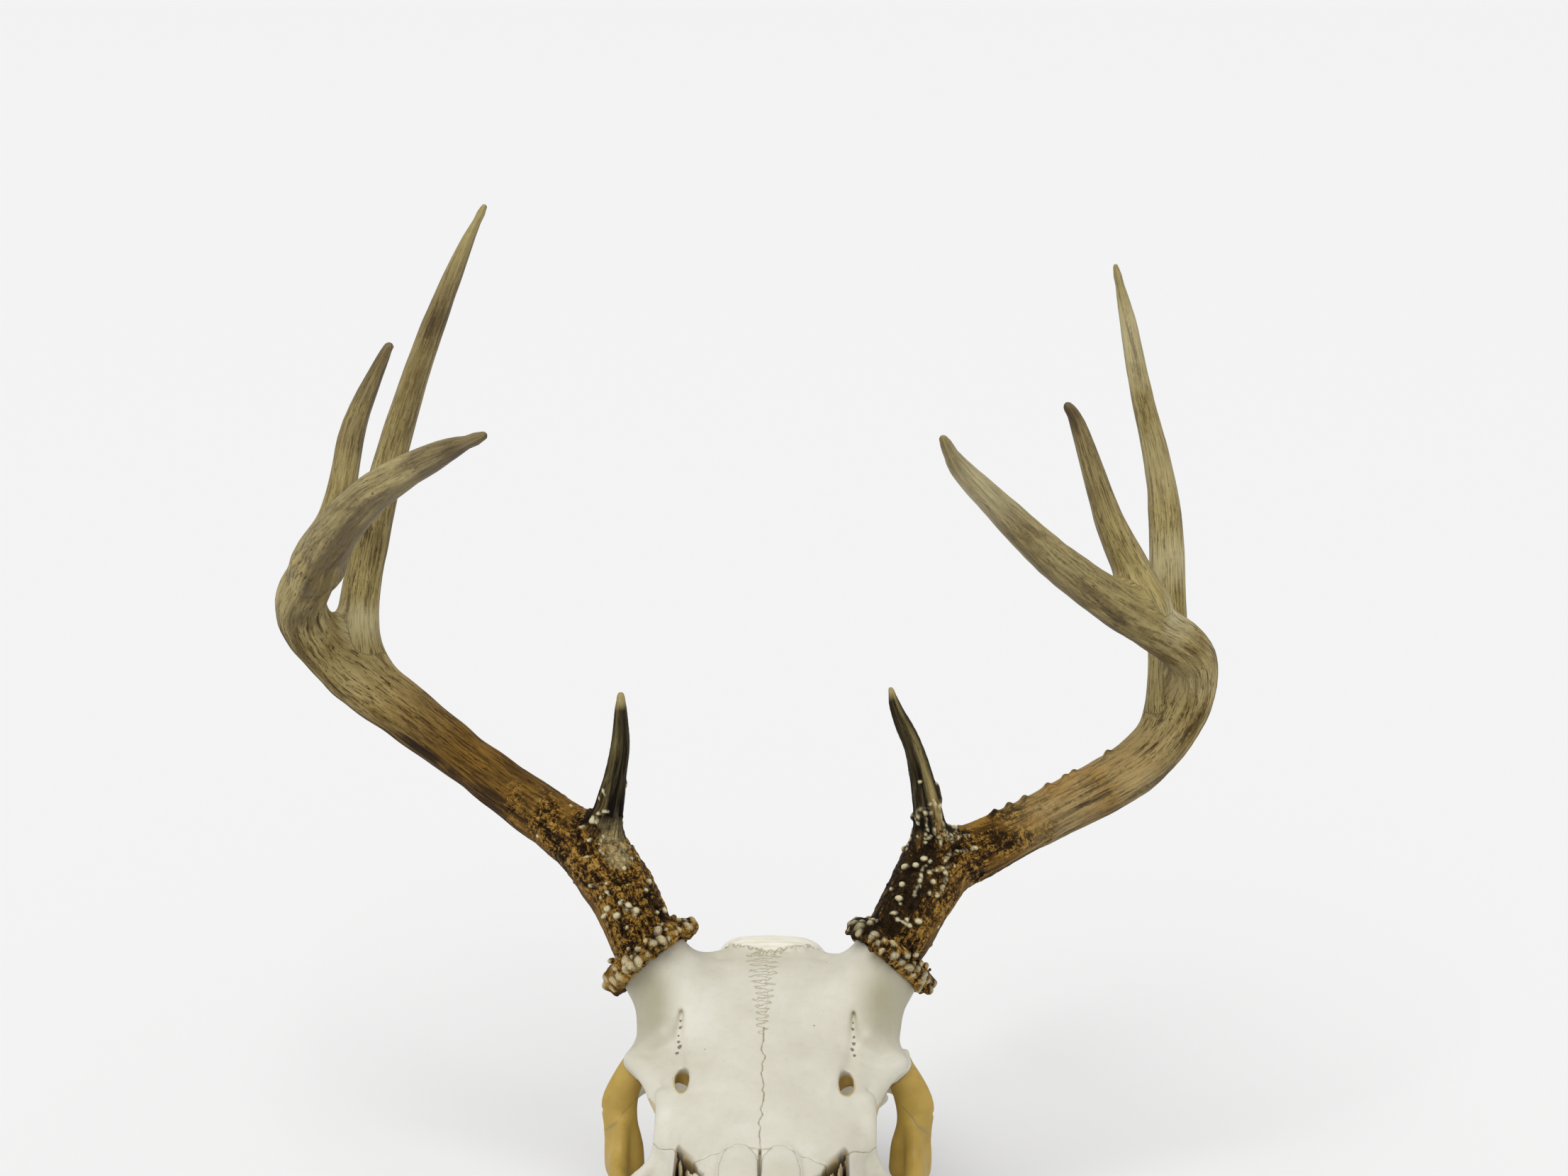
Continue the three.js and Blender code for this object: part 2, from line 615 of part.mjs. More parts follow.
function makeAntler(antler, forks) {
  const { side, beam, browTine, secondTine, thirdTine } = antler;
  const whole = joined([
    rod(beam, side, 7),
    ...[browTine, secondTine, thirdTine].map((tine) => rod(tine, side, 6)),
    makeBurr(antler),
  ]).subtract(underBurr(antler, -burrHeight / 2 - 12, 12));
  const cuts = joined([
    cutAcross(beam, side, forks.brow, 14),
    cutAcross(beam, side, forks.second, 13),
    cutAcross(beam, side, forks.third, 12),
    cutAcross(browTine, side, browTineCut, 8.5),
    cutAcross(secondTine, side, forks.secondTine, 11),
    cutAcross(thirdTine, side, thirdTineCut, 9),
  ]);
  const seeds = {
    base: placeOn(beam, side, 0.1),
    brow_tine: placeOn(browTine, side, 0.6),
    lower_beam: placeOn(beam, side, (forks.brow + forks.second) / 2),
    second_tine: placeOn(secondTine, side, 0.6),
    middle_beam: placeOn(beam, side, (forks.second + forks.third) / 2),
    third_tine: placeOn(thirdTine, side, 0.6),
    upper_beam: placeOn(beam, side, 0.85),
  };
  const pieces = whole.subtract(cuts).decompose();
  return Object.entries(seeds).map(([name, place]) => {
    const probe = box(place.clone().subScalar(0.4).toArray(), place.clone().addScalar(0.4).toArray());
    return [name, pieces.find((piece) => piece.intersect(probe).volume() > 0.1)];
  });
}

// ---- Assembly -----------------------------------------------------------------------------------

const bone = new THREE.MeshStandardMaterial({ color: 0xe6e1d0, roughness: 0.6, metalness: 0 });
const honeyBone = new THREE.MeshStandardMaterial({ color: 0xb39650, roughness: 0.55, metalness: 0 });
const antlerBrown = new THREE.MeshStandardMaterial({ color: 0x7b5f38, roughness: 0.55, metalness: 0 });
const tineIvory = new THREE.MeshStandardMaterial({ color: 0xb5ab84, roughness: 0.5, metalness: 0 });

const group = new THREE.Group();
group.position.set(-originX, -originY, 0);

function addNode(name, solid, material) {
  const { vertProperties, triVerts, numProp } = solid.getMesh();
  const positions = new Float32Array((vertProperties.length / numProp) * 3);
  for (let i = 0; i < positions.length / 3; i++) {
    positions.set(vertProperties.subarray(i * numProp, i * numProp + 3), i * 3);
  }
  const geometry = new THREE.BufferGeometry().setAttribute("position", new THREE.BufferAttribute(positions, 3));
  geometry.setIndex(new THREE.BufferAttribute(triVerts, 1));
  geometry.computeVertexNormals();
  const mesh = new THREE.Mesh(geometry, material);
  mesh.name = name;
  group.add(mesh);
}

const overBurrs = joined(Object.values(antlers).map((antler) => underBurr(antler, -burrHeight / 2 - gap, 40)));
const bones = partCranium(makeCranium().subtract(overBurrs));

for (const name of ["premaxilla", "nasal", "maxilla", "lacrimal", "zygomatic", "frontal", "temporal"]) {
  const material = name === "zygomatic" ? honeyBone : bone;
  addNode(name + "_left", largest(bones[name].intersect(oneSide(1))), material);
  addNode(name + "_right", largest(bones[name].intersect(oneSide(-1))), material);
}
addNode("parietal", largest(bones.parietal), bone);
addNode("occipital", largest(bones.occipital), bone);
addNode("sphenoid", largest(bones.sphenoid.add(makeNasalScrolls())), bone);

for (const [sideName, antler] of Object.entries(antlers)) {
  for (const [name, piece] of makeAntler(antler, antlerForks[sideName])) {
    addNode("antler_" + sideName + "_" + name, piece, name.endsWith("tine") ? tineIvory : antlerBrown);
  }
}

export default group;
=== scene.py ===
import math
import time

import bpy
import numpy as np
import openvdb as vdb
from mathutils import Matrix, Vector


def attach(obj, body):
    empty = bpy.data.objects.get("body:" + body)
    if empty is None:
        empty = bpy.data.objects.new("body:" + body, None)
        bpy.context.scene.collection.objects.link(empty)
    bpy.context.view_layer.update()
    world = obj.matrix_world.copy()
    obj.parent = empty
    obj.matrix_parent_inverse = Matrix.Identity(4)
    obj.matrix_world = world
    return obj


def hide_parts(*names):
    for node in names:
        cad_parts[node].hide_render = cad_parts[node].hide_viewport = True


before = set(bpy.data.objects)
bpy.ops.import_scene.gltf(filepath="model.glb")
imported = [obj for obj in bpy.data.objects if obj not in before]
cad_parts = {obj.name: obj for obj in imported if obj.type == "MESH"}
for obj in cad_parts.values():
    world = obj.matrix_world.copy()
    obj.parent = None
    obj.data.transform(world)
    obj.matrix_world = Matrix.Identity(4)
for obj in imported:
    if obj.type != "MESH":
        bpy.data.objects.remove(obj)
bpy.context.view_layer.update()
startTime = time.time()

# Shapes are worked out in millimetres: x from the mid-plane, y back from the nose, z up from the table.
rowShift = np.array([10.0, -170.0, 0.0])  # moves them into the row frame
farAway = 30.0


def report(words):
    print(f"{words} ({time.time() - startTime:.0f} s)")


# Small tools for shaping with distances.

def smoothMin(a, b, blend):
    blend = np.maximum(blend, 1e-6)
    overlap = np.maximum(blend - np.abs(a - b), 0) / blend
    return np.minimum(a, b) - overlap * overlap * (blend / 4)


def smoothMax(a, b, blend):
    return -smoothMin(-a, -b, blend)


def profile(stations):  # a smooth line through [place, value] stations
    places, values = np.array(stations, float).T
    if len(places) > 2:
        slopes = np.gradient(values, places)
    else:
        slopes = np.full(2, np.diff(values)[0] / np.diff(places)[0])

    def valueAt(place):
        place = np.clip(place, places[0], places[-1])
        i = np.clip(np.searchsorted(places, place, side="right") - 1, 0, len(places) - 2)
        span = places[i + 1] - places[i]
        t = (place - places[i]) / span
        pulls = (t**3 - 2 * t**2 + t) * span * slopes[i] + (t**3 - t**2) * span * slopes[i + 1]
        return values[i] + (values[i + 1] - values[i]) * t * t * (3 - 2 * t) + pulls

    return valueAt


cellMixers = (73856093, 19349663, 83492791)  # large primes that scramble the place of a cell


def noise(points, seed):  # smooth noise from -1 to 1, one cell for each unit
    base = np.floor(points).astype(np.int64)
    part = points - base
    part = part * part * (3 - 2 * part)
    total = np.zeros(points.shape[:-1])
    for corner in range(8):
        step = np.array([corner & 1, (corner >> 1) & 1, corner >> 2])
        cell = base + step
        mixed = seed * 2654435761
        for axis, mixer in enumerate(cellMixers):
            mixed = mixed ^ cell[..., axis] * mixer
        mixed = (mixed ^ (mixed >> 13)) * 1274126177
        mixed = (mixed ^ (mixed >> 16)) & 0xFFFFFF
        total += np.prod(np.where(step, part, 1 - part), axis=-1) * (mixed / 0x7FFFFF - 1)
    return total


def flatNoise(a, b, scale, seed):  # noise over two open axes
    a, b = np.broadcast_arrays(a, b)
    return noise(np.stack([a / scale, b / scale, np.full(a.shape, 0.37 + seed)], axis=-1), seed)


def smoothed(points, perSpan):  # a smooth line through rows of numbers
    rows = np.array(points, float)
    padded = np.vstack([2 * rows[0] - rows[1], rows, 2 * rows[-1] - rows[-2]])
    out = []
    for i in range(len(rows) - 1):
        p0, p1, p2, p3 = padded[i:i + 4]
        for t in np.linspace(0, 1, perSpan, endpoint=False):
            bend = (2 * p0 - 5 * p1 + 4 * p2 - p3) * t * t
            out.append(0.5 * (2 * p1 + (p2 - p0) * t + bend + (3 * p1 - p0 - 3 * p2 + p3) * t**3))
    out.append(rows[-1])
    return np.array(out)


def ovalDistance(a, b, c, ra, rb, rc):
    near = np.sqrt((a / ra)**2 + (b / rb)**2 + (c / rc)**2)
    steep = np.sqrt((a / ra**2)**2 + (b / rb**2)**2 + (c / rc**2)**2) + 1e-9
    return np.where(near < 0.05, -np.minimum(np.minimum(ra, rb), rc), near * (near - 1) / steep)


def ellipsoid(centre, radii, turn=0.0):  # turned about the upright axis
    centre, radii = np.array(centre, float), np.array(radii, float)
    c, s = math.cos(turn), math.sin(turn)
    reach = np.full(3, radii.max()) if turn else radii

    def distance(x, y, z):
        px, py = x - centre[0], y - centre[1]
        return ovalDistance(c * px + s * py, c * py - s * px, z - centre[2], *radii)

    return centre - reach, centre + reach, distance


def spansNear(axes, low, high):  # the part of each open axis that lies between two corners
    return tuple(slice(*np.searchsorted(axis.ravel(), [low[k], high[k]])) for k, axis in enumerate(axes))


def bar(points, wide=(1, 0, 0)):  # [x, y, z, half across, half deep] points
    perSpan, least = 4, 0.5  # samples for each span, and the least half size
    rows = smoothed(points, perSpan)
    centres, sizes = rows[:, :3], np.maximum(rows[:, 3:5], least)
    wide = np.array(wide, float)
    pad = sizes.max() + 1

    def distance(x, y, z):
        out = np.full((x.size, y.size, z.size), farAway, np.float32)
        for a, b, sizeA, sizeB in zip(centres[:-1], centres[1:], sizes[:-1], sizes[1:]):
            run = b - a
            length = np.linalg.norm(run)
            if length < 1e-6:
                continue
            reach = max(sizeA.max(), sizeB.max()) + 6
            low, high = np.minimum(a, b) - reach, np.maximum(a, b) + reach
            where = spansNear((x, y, z), low, high)
            if any(span.stop <= span.start for span in where):
                continue
            px, py, pz = x[where[0]] - a[0], y[:, where[1]] - a[1], z[:, :, where[2]] - a[2]
            t = np.clip((px * run[0] + py * run[1] + pz * run[2]) / length**2, 0, 1)
            along = run / length
            deepWay = np.cross(along, wide)
            deepWay /= np.linalg.norm(deepWay)
            acrossWay = np.cross(deepWay, along)
            across = px * acrossWay[0] + py * acrossWay[1] + pz * acrossWay[2]
            deep = px * deepWay[0] + py * deepWay[1] + pz * deepWay[2]
            past = px * along[0] + py * along[1] + pz * along[2] - t * length
            ra = sizeA[0] + (sizeB[0] - sizeA[0]) * t
            rd = sizeA[1] + (sizeB[1] - sizeA[1]) * t
            out[where] = np.minimum(out[where], ovalDistance(across, deep, past, ra, rd, np.minimum(ra, rd)))
        return out

    return centres.min(0) - pad, centres.max(0) + pad, distance


def vault(sizes, roof, lift=0.0, hollow=0.0, ends=True):  # arched sections along y
    half, edge, bottom = profile(sizes["half"]), profile(sizes["edge"]), profile(sizes["bottom"])
    square = profile(sizes["square"])
    drop = profile(sizes.get("drop", [[0, 0], [1, 0]]))
    first, last = sizes["from"], sizes["to"]

    def distance(x, y, z):
        h, n = half(y), square(y)
        middle = edge(y) - drop(y) * np.minimum((x / h)**2, 1.4)
        over = z - middle
        rise = np.where(over > 0, roof(y) + lift - edge(y), edge(y) - bottom(y))
        u, v = np.abs(x) / h + 1e-6, np.abs(over) / rise + 1e-6
        fullness = (u**n + v**n)**(1 / n)
        steep = np.sqrt(((u / fullness)**(n - 1) / h)**2 + ((v / fullness)**(n - 1) / rise)**2)
        out = (fullness - 1) / np.maximum(steep, 1e-4) + hollow
        return smoothMax(out, np.maximum(first - y, y - last), 6) if ends else out

    reach = max(value for _, value in sizes["half"]) + 4
    return np.array([-reach, first, -2.0]), np.array([reach, last, 140.0]), distance


def outlineDistance(outline, a, b):  # to a flat outline, negative inside
    points = np.array(outline, float)
    a, b = np.broadcast_arrays(a, b)
    best, inside = np.full(a.shape, 1e9), np.zeros(a.shape, bool)
    for start, end in zip(points, np.roll(points, -1, axis=0)):
        run = end - start
        t = np.clip(((a - start[0]) * run[0] + (b - start[1]) * run[1]) / (run @ run), 0, 1)
        best = np.minimum(best, (a - start[0] - t * run[0])**2 + (b - start[1] - t * run[1])**2)
        rise = run[1] if abs(run[1]) > 1e-9 else 1e-9
        inside ^= ((start[1] > b) != (end[1] > b)) & (a < run[0] * (b - start[1]) / rise + start[0])
    return np.where(inside, -np.sqrt(best), np.sqrt(best))


def cutPlane(point, normal):  # distance past a plane, for all of space
    point, normal = np.array(point, float), np.array(normal, float) / np.linalg.norm(normal)

    def distance(x, y, z):
        return (x - point[0]) * normal[0] + (y - point[1]) * normal[1] + (z - point[2]) * normal[2]

    return distance


class Clay:  # a block of space that holds the distance to the surface, negative inside
    def __init__(self, low, high, step):
        self.low, self.step = np.array(low, float), step
        count = np.ceil((np.array(high) - self.low) / step).astype(int) + 1
        self.field = np.full(count, farAway, np.float32)

    def window(self, low, high):
        first = np.clip(np.floor((np.array(low) - self.low) / self.step).astype(int), 0, self.field.shape)
        last = np.clip(np.ceil((np.array(high) - self.low) / self.step).astype(int) + 1, 0, self.field.shape)
        axes = [self.low[k] + self.step * np.arange(first[k], last[k]) for k in range(3)]
        where = tuple(slice(first[k], last[k]) for k in range(3))
        return where, axes[0][:, None, None], axes[1][None, :, None], axes[2][None, None, :]

    def add(self, shape, blend=0.0):
        low, high, distance = shape
        where, x, y, z = self.window(low - blend - 2.5, high + blend + 2.5)
        if min(x.size, y.size, z.size):
            self.field[where] = smoothMin(self.field[where], distance(x, y, z), blend)

    def cut(self, shape, blend=0.0):
        low, high, distance = shape
        where, x, y, z = self.window(low - blend - 1, high + blend + 1)
        if min(x.size, y.size, z.size):
            self.field[where] = smoothMax(self.field[where], -distance(x, y, z), blend)


def surfaceOf(field, low, step):  # points and faces of the zero surface, facing out
    grid = vdb.FloatGrid(farAway)
    grid.copyFromArray(np.ascontiguousarray(np.clip(field, -4, farAway), np.float32))
    points, _, quads = grid.convertToPolygons(0.0, 0.0)
    points = points.astype(float) * step + low
    faces = quads.astype(np.int64)
    a, b, c, d = (points[faces[:, k]] for k in range(4))
    volume = sum(np.einsum("ij,ij->i", a, np.cross(first, last)).sum() for first, last in ((b, c), (c, d)))
    return points, faces[:, ::-1] if volume < 0 else faces


def largestPart(points, faces):  # drops crumbs that the cuts leave, and says which points stay
    label = np.arange(len(points))
    while True:
        lowest = label[faces].min(axis=1)
        new = label.copy()
        for k in range(4):
            np.minimum.at(new, faces[:, k], lowest)
        new = new[new]
        if (new == label).all():
            break
        label = new
    labels, counts = np.unique(label[faces[:, 0]], return_counts=True)
    keep = faces[label[faces[:, 0]] == labels[counts.argmax()]]
    used, index = np.unique(keep, return_inverse=True)
    return points[used], index.reshape(keep.shape), used


def makePiece(name, points, faces, marks, smoothAngle, caps=()):
    words = name.split("_")
    label = words[0] + ("".join(word.title() for word in words[1:]) or "Bone")
    mesh = bpy.data.meshes.new(label)
    capCount = len(caps)
    loops = np.concatenate([faces.ravel(), np.array(caps, np.int64).ravel()]) if capCount else faces.ravel()
    mesh.vertices.add(len(points))
    mesh.vertices.foreach_set("co", ((points + rowShift) * 0.001).astype(np.float32).ravel())
    mesh.loops.add(len(loops))
    mesh.loops.foreach_set("vertex_index", loops.astype(np.int32))
    starts = np.concatenate([np.arange(len(faces)) * 4, len(faces) * 4 + np.arange(capCount) * 3])
    mesh.polygons.add(len(starts))
    mesh.polygons.foreach_set("loop_start", starts.astype(np.int32))
    mesh.update(calc_edges=True)
    mesh.validate()
    for mark, values in marks.items():
        kind = "FLOAT_VECTOR" if values.ndim == 2 else "FLOAT"
        layer = mesh.attributes.new(mark, kind, "POINT")
        layer.data.foreach_set("vector" if values.ndim == 2 else "value", values.astype(np.float32).ravel())
    piece = bpy.data.objects.new(label, mesh)
    bpy.context.collection.objects.link(piece)
    bpy.ops.object.select_all(action="DESELECT")
    piece.select_set(True)
    bpy.context.view_layer.objects.active = piece
    bpy.ops.object.shade_smooth_by_angle(angle=math.radians(smoothAngle))
    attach(piece, "root")
    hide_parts(name)
    return piece


# The cranium is one block of clay, shaped on one side and mirrored.

cranium = {
    "step": 0.67,
    "roof": [[2, 20], [45, 64], [90, 76], [137, 88], [155, 93.5], [172, 99], [190, 105.5], [210, 112.5],
             [228, 117], [240, 119], [250, 117.5], [263, 110], [279, 92]],
    "muzzle": {"from": 46, "to": 168,
               "half": [[34, 13.5], [60, 16], [75, 18], [88, 22], [100, 27], [122, 33], [140, 36],
                        [156, 39], [168, 38]],
               "edge": [[34, 25], [60, 28], [90, 28], [120, 33], [140, 44], [168, 60]],
               "bottom": [[34, 19], [60, 22], [85, 21], [100, 16], [145, 16], [168, 24]],
               "square": [[34, 2.2], [110, 2.3], [135, 2.8], [160, 3.6]]},
    "aperture": [[-6, 17], [4, 20], [18, 27], [35, 38], [50, 51], [60, 62.6], [46, 59.5], [42, 140],
                 [-6, 140]],
    "brow": {"from": 126, "to": 234,
             "half": [[128, 18], [140, 26], [150, 33], [160, 38.5], [168, 42], [180, 44], [190, 46],
                      [200, 47.5], [214, 46.5], [224, 43], [233, 32]],
             "drop": [[128, 4], [150, 6], [165, 6], [182, 8], [198, 10], [210, 6], [233, 4]],
             "square": [[120, 3], [240, 3]], "thick": 14},
    "brain": {"from": 188, "to": 282,
              "half": [[188, 14], [200, 24], [212, 32], [225, 35.5], [240, 38], [256, 38], [268, 38],
                       [276, 36], [281, 31]],
              "edge": [[188, 76], [225, 76], [256, 72], [281, 62]],
              "bottom": [[188, 50], [205, 44], [230, 38], [262, 34], [281, 33]],
              "square": [[188, 2.4], [240, 2.2], [270, 2.6], [281, 2.6]]},
    "crown": {"from": 233, "to": 276,
              "half": [[233, 17], [246, 18.5], [262, 19.5], [276, 17]],
              "edge": [[233, 107], [240, 110], [250, 108.5], [263, 101], [276, 86]],
              "bottom": [[233, 90], [276, 70]],
              "square": [[233, 3.4], [276, 3.0]]},
    "middleWall": {"from": 146, "to": 206,
                   "half": [[148, 30], [162, 22], [180, 17], [204, 22]],
                   "edge": [[148, 60], [204, 74]],
                   "bottom": [[148, 20], [165, 30], [185, 42], [204, 46]],
                   "square": [[148, 3], [204, 3]]},
    "burrAxis": [0.63, 0.365, 0.685],
    "burrPlace": [45.4, 229, 120.8],
}
roofAt = profile(cranium["roof"])
step = cranium["step"]
pad = 4  # samples past the mid-plane
clayLow, clayHigh = [-pad * step, -8, -2], [74, 304, 138]
clay = Clay(clayLow, clayHigh, step)


def browSizes():
    sizes = dict(cranium["brow"])
    thick = sizes["thick"]
    places = [place for place, _ in sizes["half"]]
    sizes["edge"] = [[place, float(roofAt(place)) - thick / 2] for place in places]
    sizes["bottom"] = [[place, float(roofAt(place)) - thick] for place in places]
    return sizes


clay.add(vault(cranium["muzzle"], lambda y: roofAt(y) - 4.5 * np.clip((y - 126) / 30, 0, 1)**1.5))
# Rounded nasal bones lie on its roof.
clay.add(bar([[3.4, 45, 60.5, 2.2, 1.4], [5, 54, 63, 4.4, 2.6], [5.4, 75, 69.5, 5, 3],
              [5.8, 100, 76.2, 5.6, 3], [7.2, 122, 82.2, 7.2, 3], [7.4, 134, 85.6, 6.4, 2.6],
              [7, 141, 87, 4, 1.6]]), 2.5)
hollowDistance = vault(cranium["muzzle"], roofAt, hollow=3.0, ends=False)[2]


def roomOfMuzzle(x, y, z):  # the hollow over the palate
    return np.maximum(np.maximum(hollowDistance(x, np.maximum(y, 40), z), y - 114), 24 + 0.05 * (y - 60) - z)


def noseOpening(x, y, z):
    return outlineDistance(cranium["aperture"], y, z) + 0 * x


clay.cut((np.array([-40.0, -8, 0]), np.array([40.0, 116, 90]), roomOfMuzzle), 2)
clay.cut((np.array([-60.0, -8, 10]), np.array([60.0, 64, 138]), noseOpening), 1.5)
clay.add(bar([[8, 3, 16.5, 2.5, 4], [11, 12, 19, 4.5, 3.2], [14.5, 28, 26, 8, 2.2],
              [16.5, 45, 35, 12, 2], [15.5, 62, 44, 15, 2], [13, 76, 55, 12, 2]], (0, 0, 1)), 2)
clay.add(bar([[6.5, 3, 15.5, 5.5, 2.2], [5.2, 14, 17.5, 4, 2], [4, 34, 20, 3, 1.8], [4, 58, 24, 3, 2.5],
              [4, 74, 25, 4, 3]], (1, 0, 0)), 2)
clay.add(bar([[19, 90, 20, 5, 5], [23.5, 108, 18.5, 7, 6], [27.5, 130, 18.5, 8.5, 7],
              [28.5, 150, 19.5, 9, 7], [26, 172, 24, 7, 7]], (1, 0, 0)), 4)

browLow, browHigh, browDistance = vault(browSizes(), roofAt)
where, x, y, z = clay.window(browLow - 8, browHigh + 8)
soften = 5 * np.clip((roofAt(y) - 5 - z) / 7, 0.06, 1)  # no swelling where the two roofs run together
clay.field[where] = smoothMin(clay.field[where], browDistance(x, y, z), soften)
clay.add(vault(cranium["brain"], roofAt, lift=-3.0), 7)
clay.add(vault(cranium["crown"], roofAt, lift=0.3), 3)
clay.add(bar([[34, 224, 112, 4, 4], [28, 232, 113.2, 3.4, 3.4], [20, 237.5, 113.6, 3, 3],
              [9, 236, 114.4, 3, 3]]), 4)
clay.add(vault(cranium["middleWall"], roofAt, lift=-6), 5)
clay.add(bar([[27, 212, 93, 17, 16], [34, 220, 105, 15, 15], [41, 226, 114, 14, 14],
              [50, 232, 127, 14, 14]]), 9)
clay.add(bar([[0, 286, 38, 11, 5], [0, 262, 34, 12, 5.5], [0, 236, 33, 11, 5.5], [0, 210, 38, 8, 6],
              [0, 186, 42, 6, 6]]), 4)
clay.add(bar([[37, 262, 64, 4, 4], [33, 270, 81, 3.4, 3.4], [18, 276, 91, 3, 3], [0, 279, 94, 4.6, 3.6],
              [-18, 276, 91, 3, 3]], (0, 1, 0)), 7)
clay.add(bar([[28, 268, 48, 5, 9], [30, 271, 30, 3.6, 6.4], [29, 270, 14, 2.8, 4.6],
              [27, 267.5, -3, 2.4, 3.2]], (1, 0.3, 0)), 4)
clay.add(bar([[11, 184, 52, 16, 2], [12, 186, 38, 14, 1.6], [13, 186, 27, 9, 1.4], [13.5, 187, 19, 4, 1.3]],
             (0, 1, 0)), 3)
clay.add(ellipsoid([21, 243, 28], [8.5, 14, 12], 0.25), 2)
clay.add(bar([[22, 244, 36, 6, 6], [34, 249, 46, 5, 5], [41, 251, 51.5, 4.6, 4.6]], (0, 1, 0)), 3)
clay.add(ellipsoid([15.5, 282, 40], [9, 9.5, 12.5], -0.35), 2.5)
clay.add(ellipsoid([39, 239, 62], [5, 15, 4], 0.0), 5)  # root of the cheek arch over the ear

clay.cut(ellipsoid([48, 178, 74], [32, 19.5, 19.5]), 2.5)
clay.cut(ellipsoid([47, 147, 66], [8, 8, 10]), 3)
clay.cut(ellipsoid([47, 216, 72], [13, 14, 16]), 6)  # hollow of the temple behind the orbit
clay.add(bar([[47.5, 195, 93, 4.6, 3.6], [43.6, 188, 91.6, 4.2, 3.4], [40.2, 180, 89, 3.4, 3.4],
              [37.8, 171, 85.8, 3.2, 3.4], [36, 163, 82, 3.2, 3.4],
              [35.2, 156, 79, 3.8, 3.6]], (1, 0, 0)), 3)
clay.add(bar([[34.5, 170, 89.5, 5, 3], [36.3, 161.5, 84.4, 4, 2.6], [37.5, 157.5, 76.5, 3.6, 2.6],
              [40.5, 157, 68, 4, 3], [46, 162, 58, 5, 4]], (1, -0.6, 0)), 3)
clay.add(bar([[28, 124, 29, 4, 8], [38, 142, 40, 4.4, 9.5], [46, 158, 50, 4, 8.6],
              [52, 174, 51.5, 3.2, 6.2], [55.5, 194, 52.5, 3, 7], [56.5, 212, 56, 2.8, 5.2],
              [53.5, 228, 61.5, 3, 4.6], [40, 243, 67, 6, 4.6]],
             (1, 0, 0)), 3)
clay.add(bar([[37, 202, 101, 5, 9], [45, 200.5, 92.5, 5, 7], [51, 198, 83, 5.8, 4.6],
              [53.8, 196.5, 75, 6.6, 3.4], [53.6, 196, 67, 6.3, 3.2], [52.4, 195, 58, 7, 4.2],
              [52, 194, 51, 7, 6]], (1, 0, 0)), 3.5)
for corner in ([[53.6, 178, 52, 2.2, 2.4], [53.4, 187, 57.5, 2.6, 2.6], [53.2, 193, 68, 2.4, 2]],
               [[55, 204, 56, 2.2, 2.4], [53.6, 200, 62, 2.4, 2.4], [53.4, 197.6, 70, 2.4, 2]]):
    clay.add(bar(corner), 4)  # rounds the corners of the orbit
gapOutline = [[29.8, 146.5], [27, 142.6], [24.7, 139.6], [22, 135.4], [18.9, 128.8], [17.6, 122],
              [19.5, 117], [24, 119], [28.6, 126], [30, 138]]


def gapDistance(x, y, z):  # ragged gap before the orbit, open to the thin scrolls of the nose
    across, back = x[:, :, 0], y[:, :, 0]
    flat = outlineDistance(gapOutline, np.abs(across), back)
    flat = flat + 1.5 * flatNoise(across, back, 3.1, 19) + 0.9 * flatNoise(across, back, 1.5, 20)
    return np.maximum(flat[:, :, None], 58 - z)


clay.cut((np.array([10.0, 112, 58]), np.array([34.0, 150, 92]), gapDistance), 0.4)
scrolls = [([21.6, 129, 72.5], -0.45), ([24.8, 134, 71], -0.3), ([27.9, 139, 72], -0.15),
           ([26.6, 128, 70.5], 0.3), ([23.4, 125, 71], 0.1)]
for place, turn in scrolls:
    clay.add(ellipsoid(place, [0.75, 6.5, 9.5], turn), 0.8)
clay.cut(ellipsoid([24.5, 97, 35], [4, 5.5, 3.4], 0.4), 1.5)  # foramen over the first cheek tooth
clay.cut(ellipsoid([18, 199, 62], [7, 5, 5]), 2)
clay.cut(ellipsoid([17, 208, 54], [6, 3.6, 4]), 1.5)
clay.cut(ellipsoid([43, 252, 52.5], [7, 2.8, 2.8], 0.0), 1)  # ear hole
clay.cut(ellipsoid([0, 284, 45], [10.5, 32, 10.5]), 2)  # spine hole, open to the hollow of the brain
clay.cut(ellipsoid([0, 244, 60], [22, 28, 16]), 3)
clay.cut(ellipsoid([16, 288, 66], [11, 10, 10]), 6)  # muscle hollows of the nape
clay.cut(ellipsoid([0, 128, 87.5], [0.75, 9, 6]), 0.3)  # slit between the nasal bones
clay.cut(bar([[31.5, 204, 107.9, 0.6, 1.1], [31.7, 198, 105.6, 1.1, 1.9], [31.8, 192, 103.1, 1.7, 2.5],
              [31.7, 186, 100.9, 2.5, 3.0], [30.9, 178, 98.7, 3.7, 3.3], [28.2, 169, 96.5, 3.2, 2.5],
              [24.8, 162, 95, 1.6, 1.6]],
             (1, 0, 0)), 1.7)
clay.cut(ellipsoid([29.3, 175, 92.5], [2.8, 6.6, 8]), 0.5)  # foramen over the orbit
clay.cut(ellipsoid([61.4, 194, 72], [1.6, 5, 1.1]), 0.8)


def inNose(x, y, z, margin):  # room inside the nose, clear of its walls
    room = np.maximum(hollowDistance(x, np.maximum(y, 40), z) + margin, 25 + 0.05 * (y - 60) - z)
    return np.maximum(np.maximum(room, 60 - y), y - 113.5)


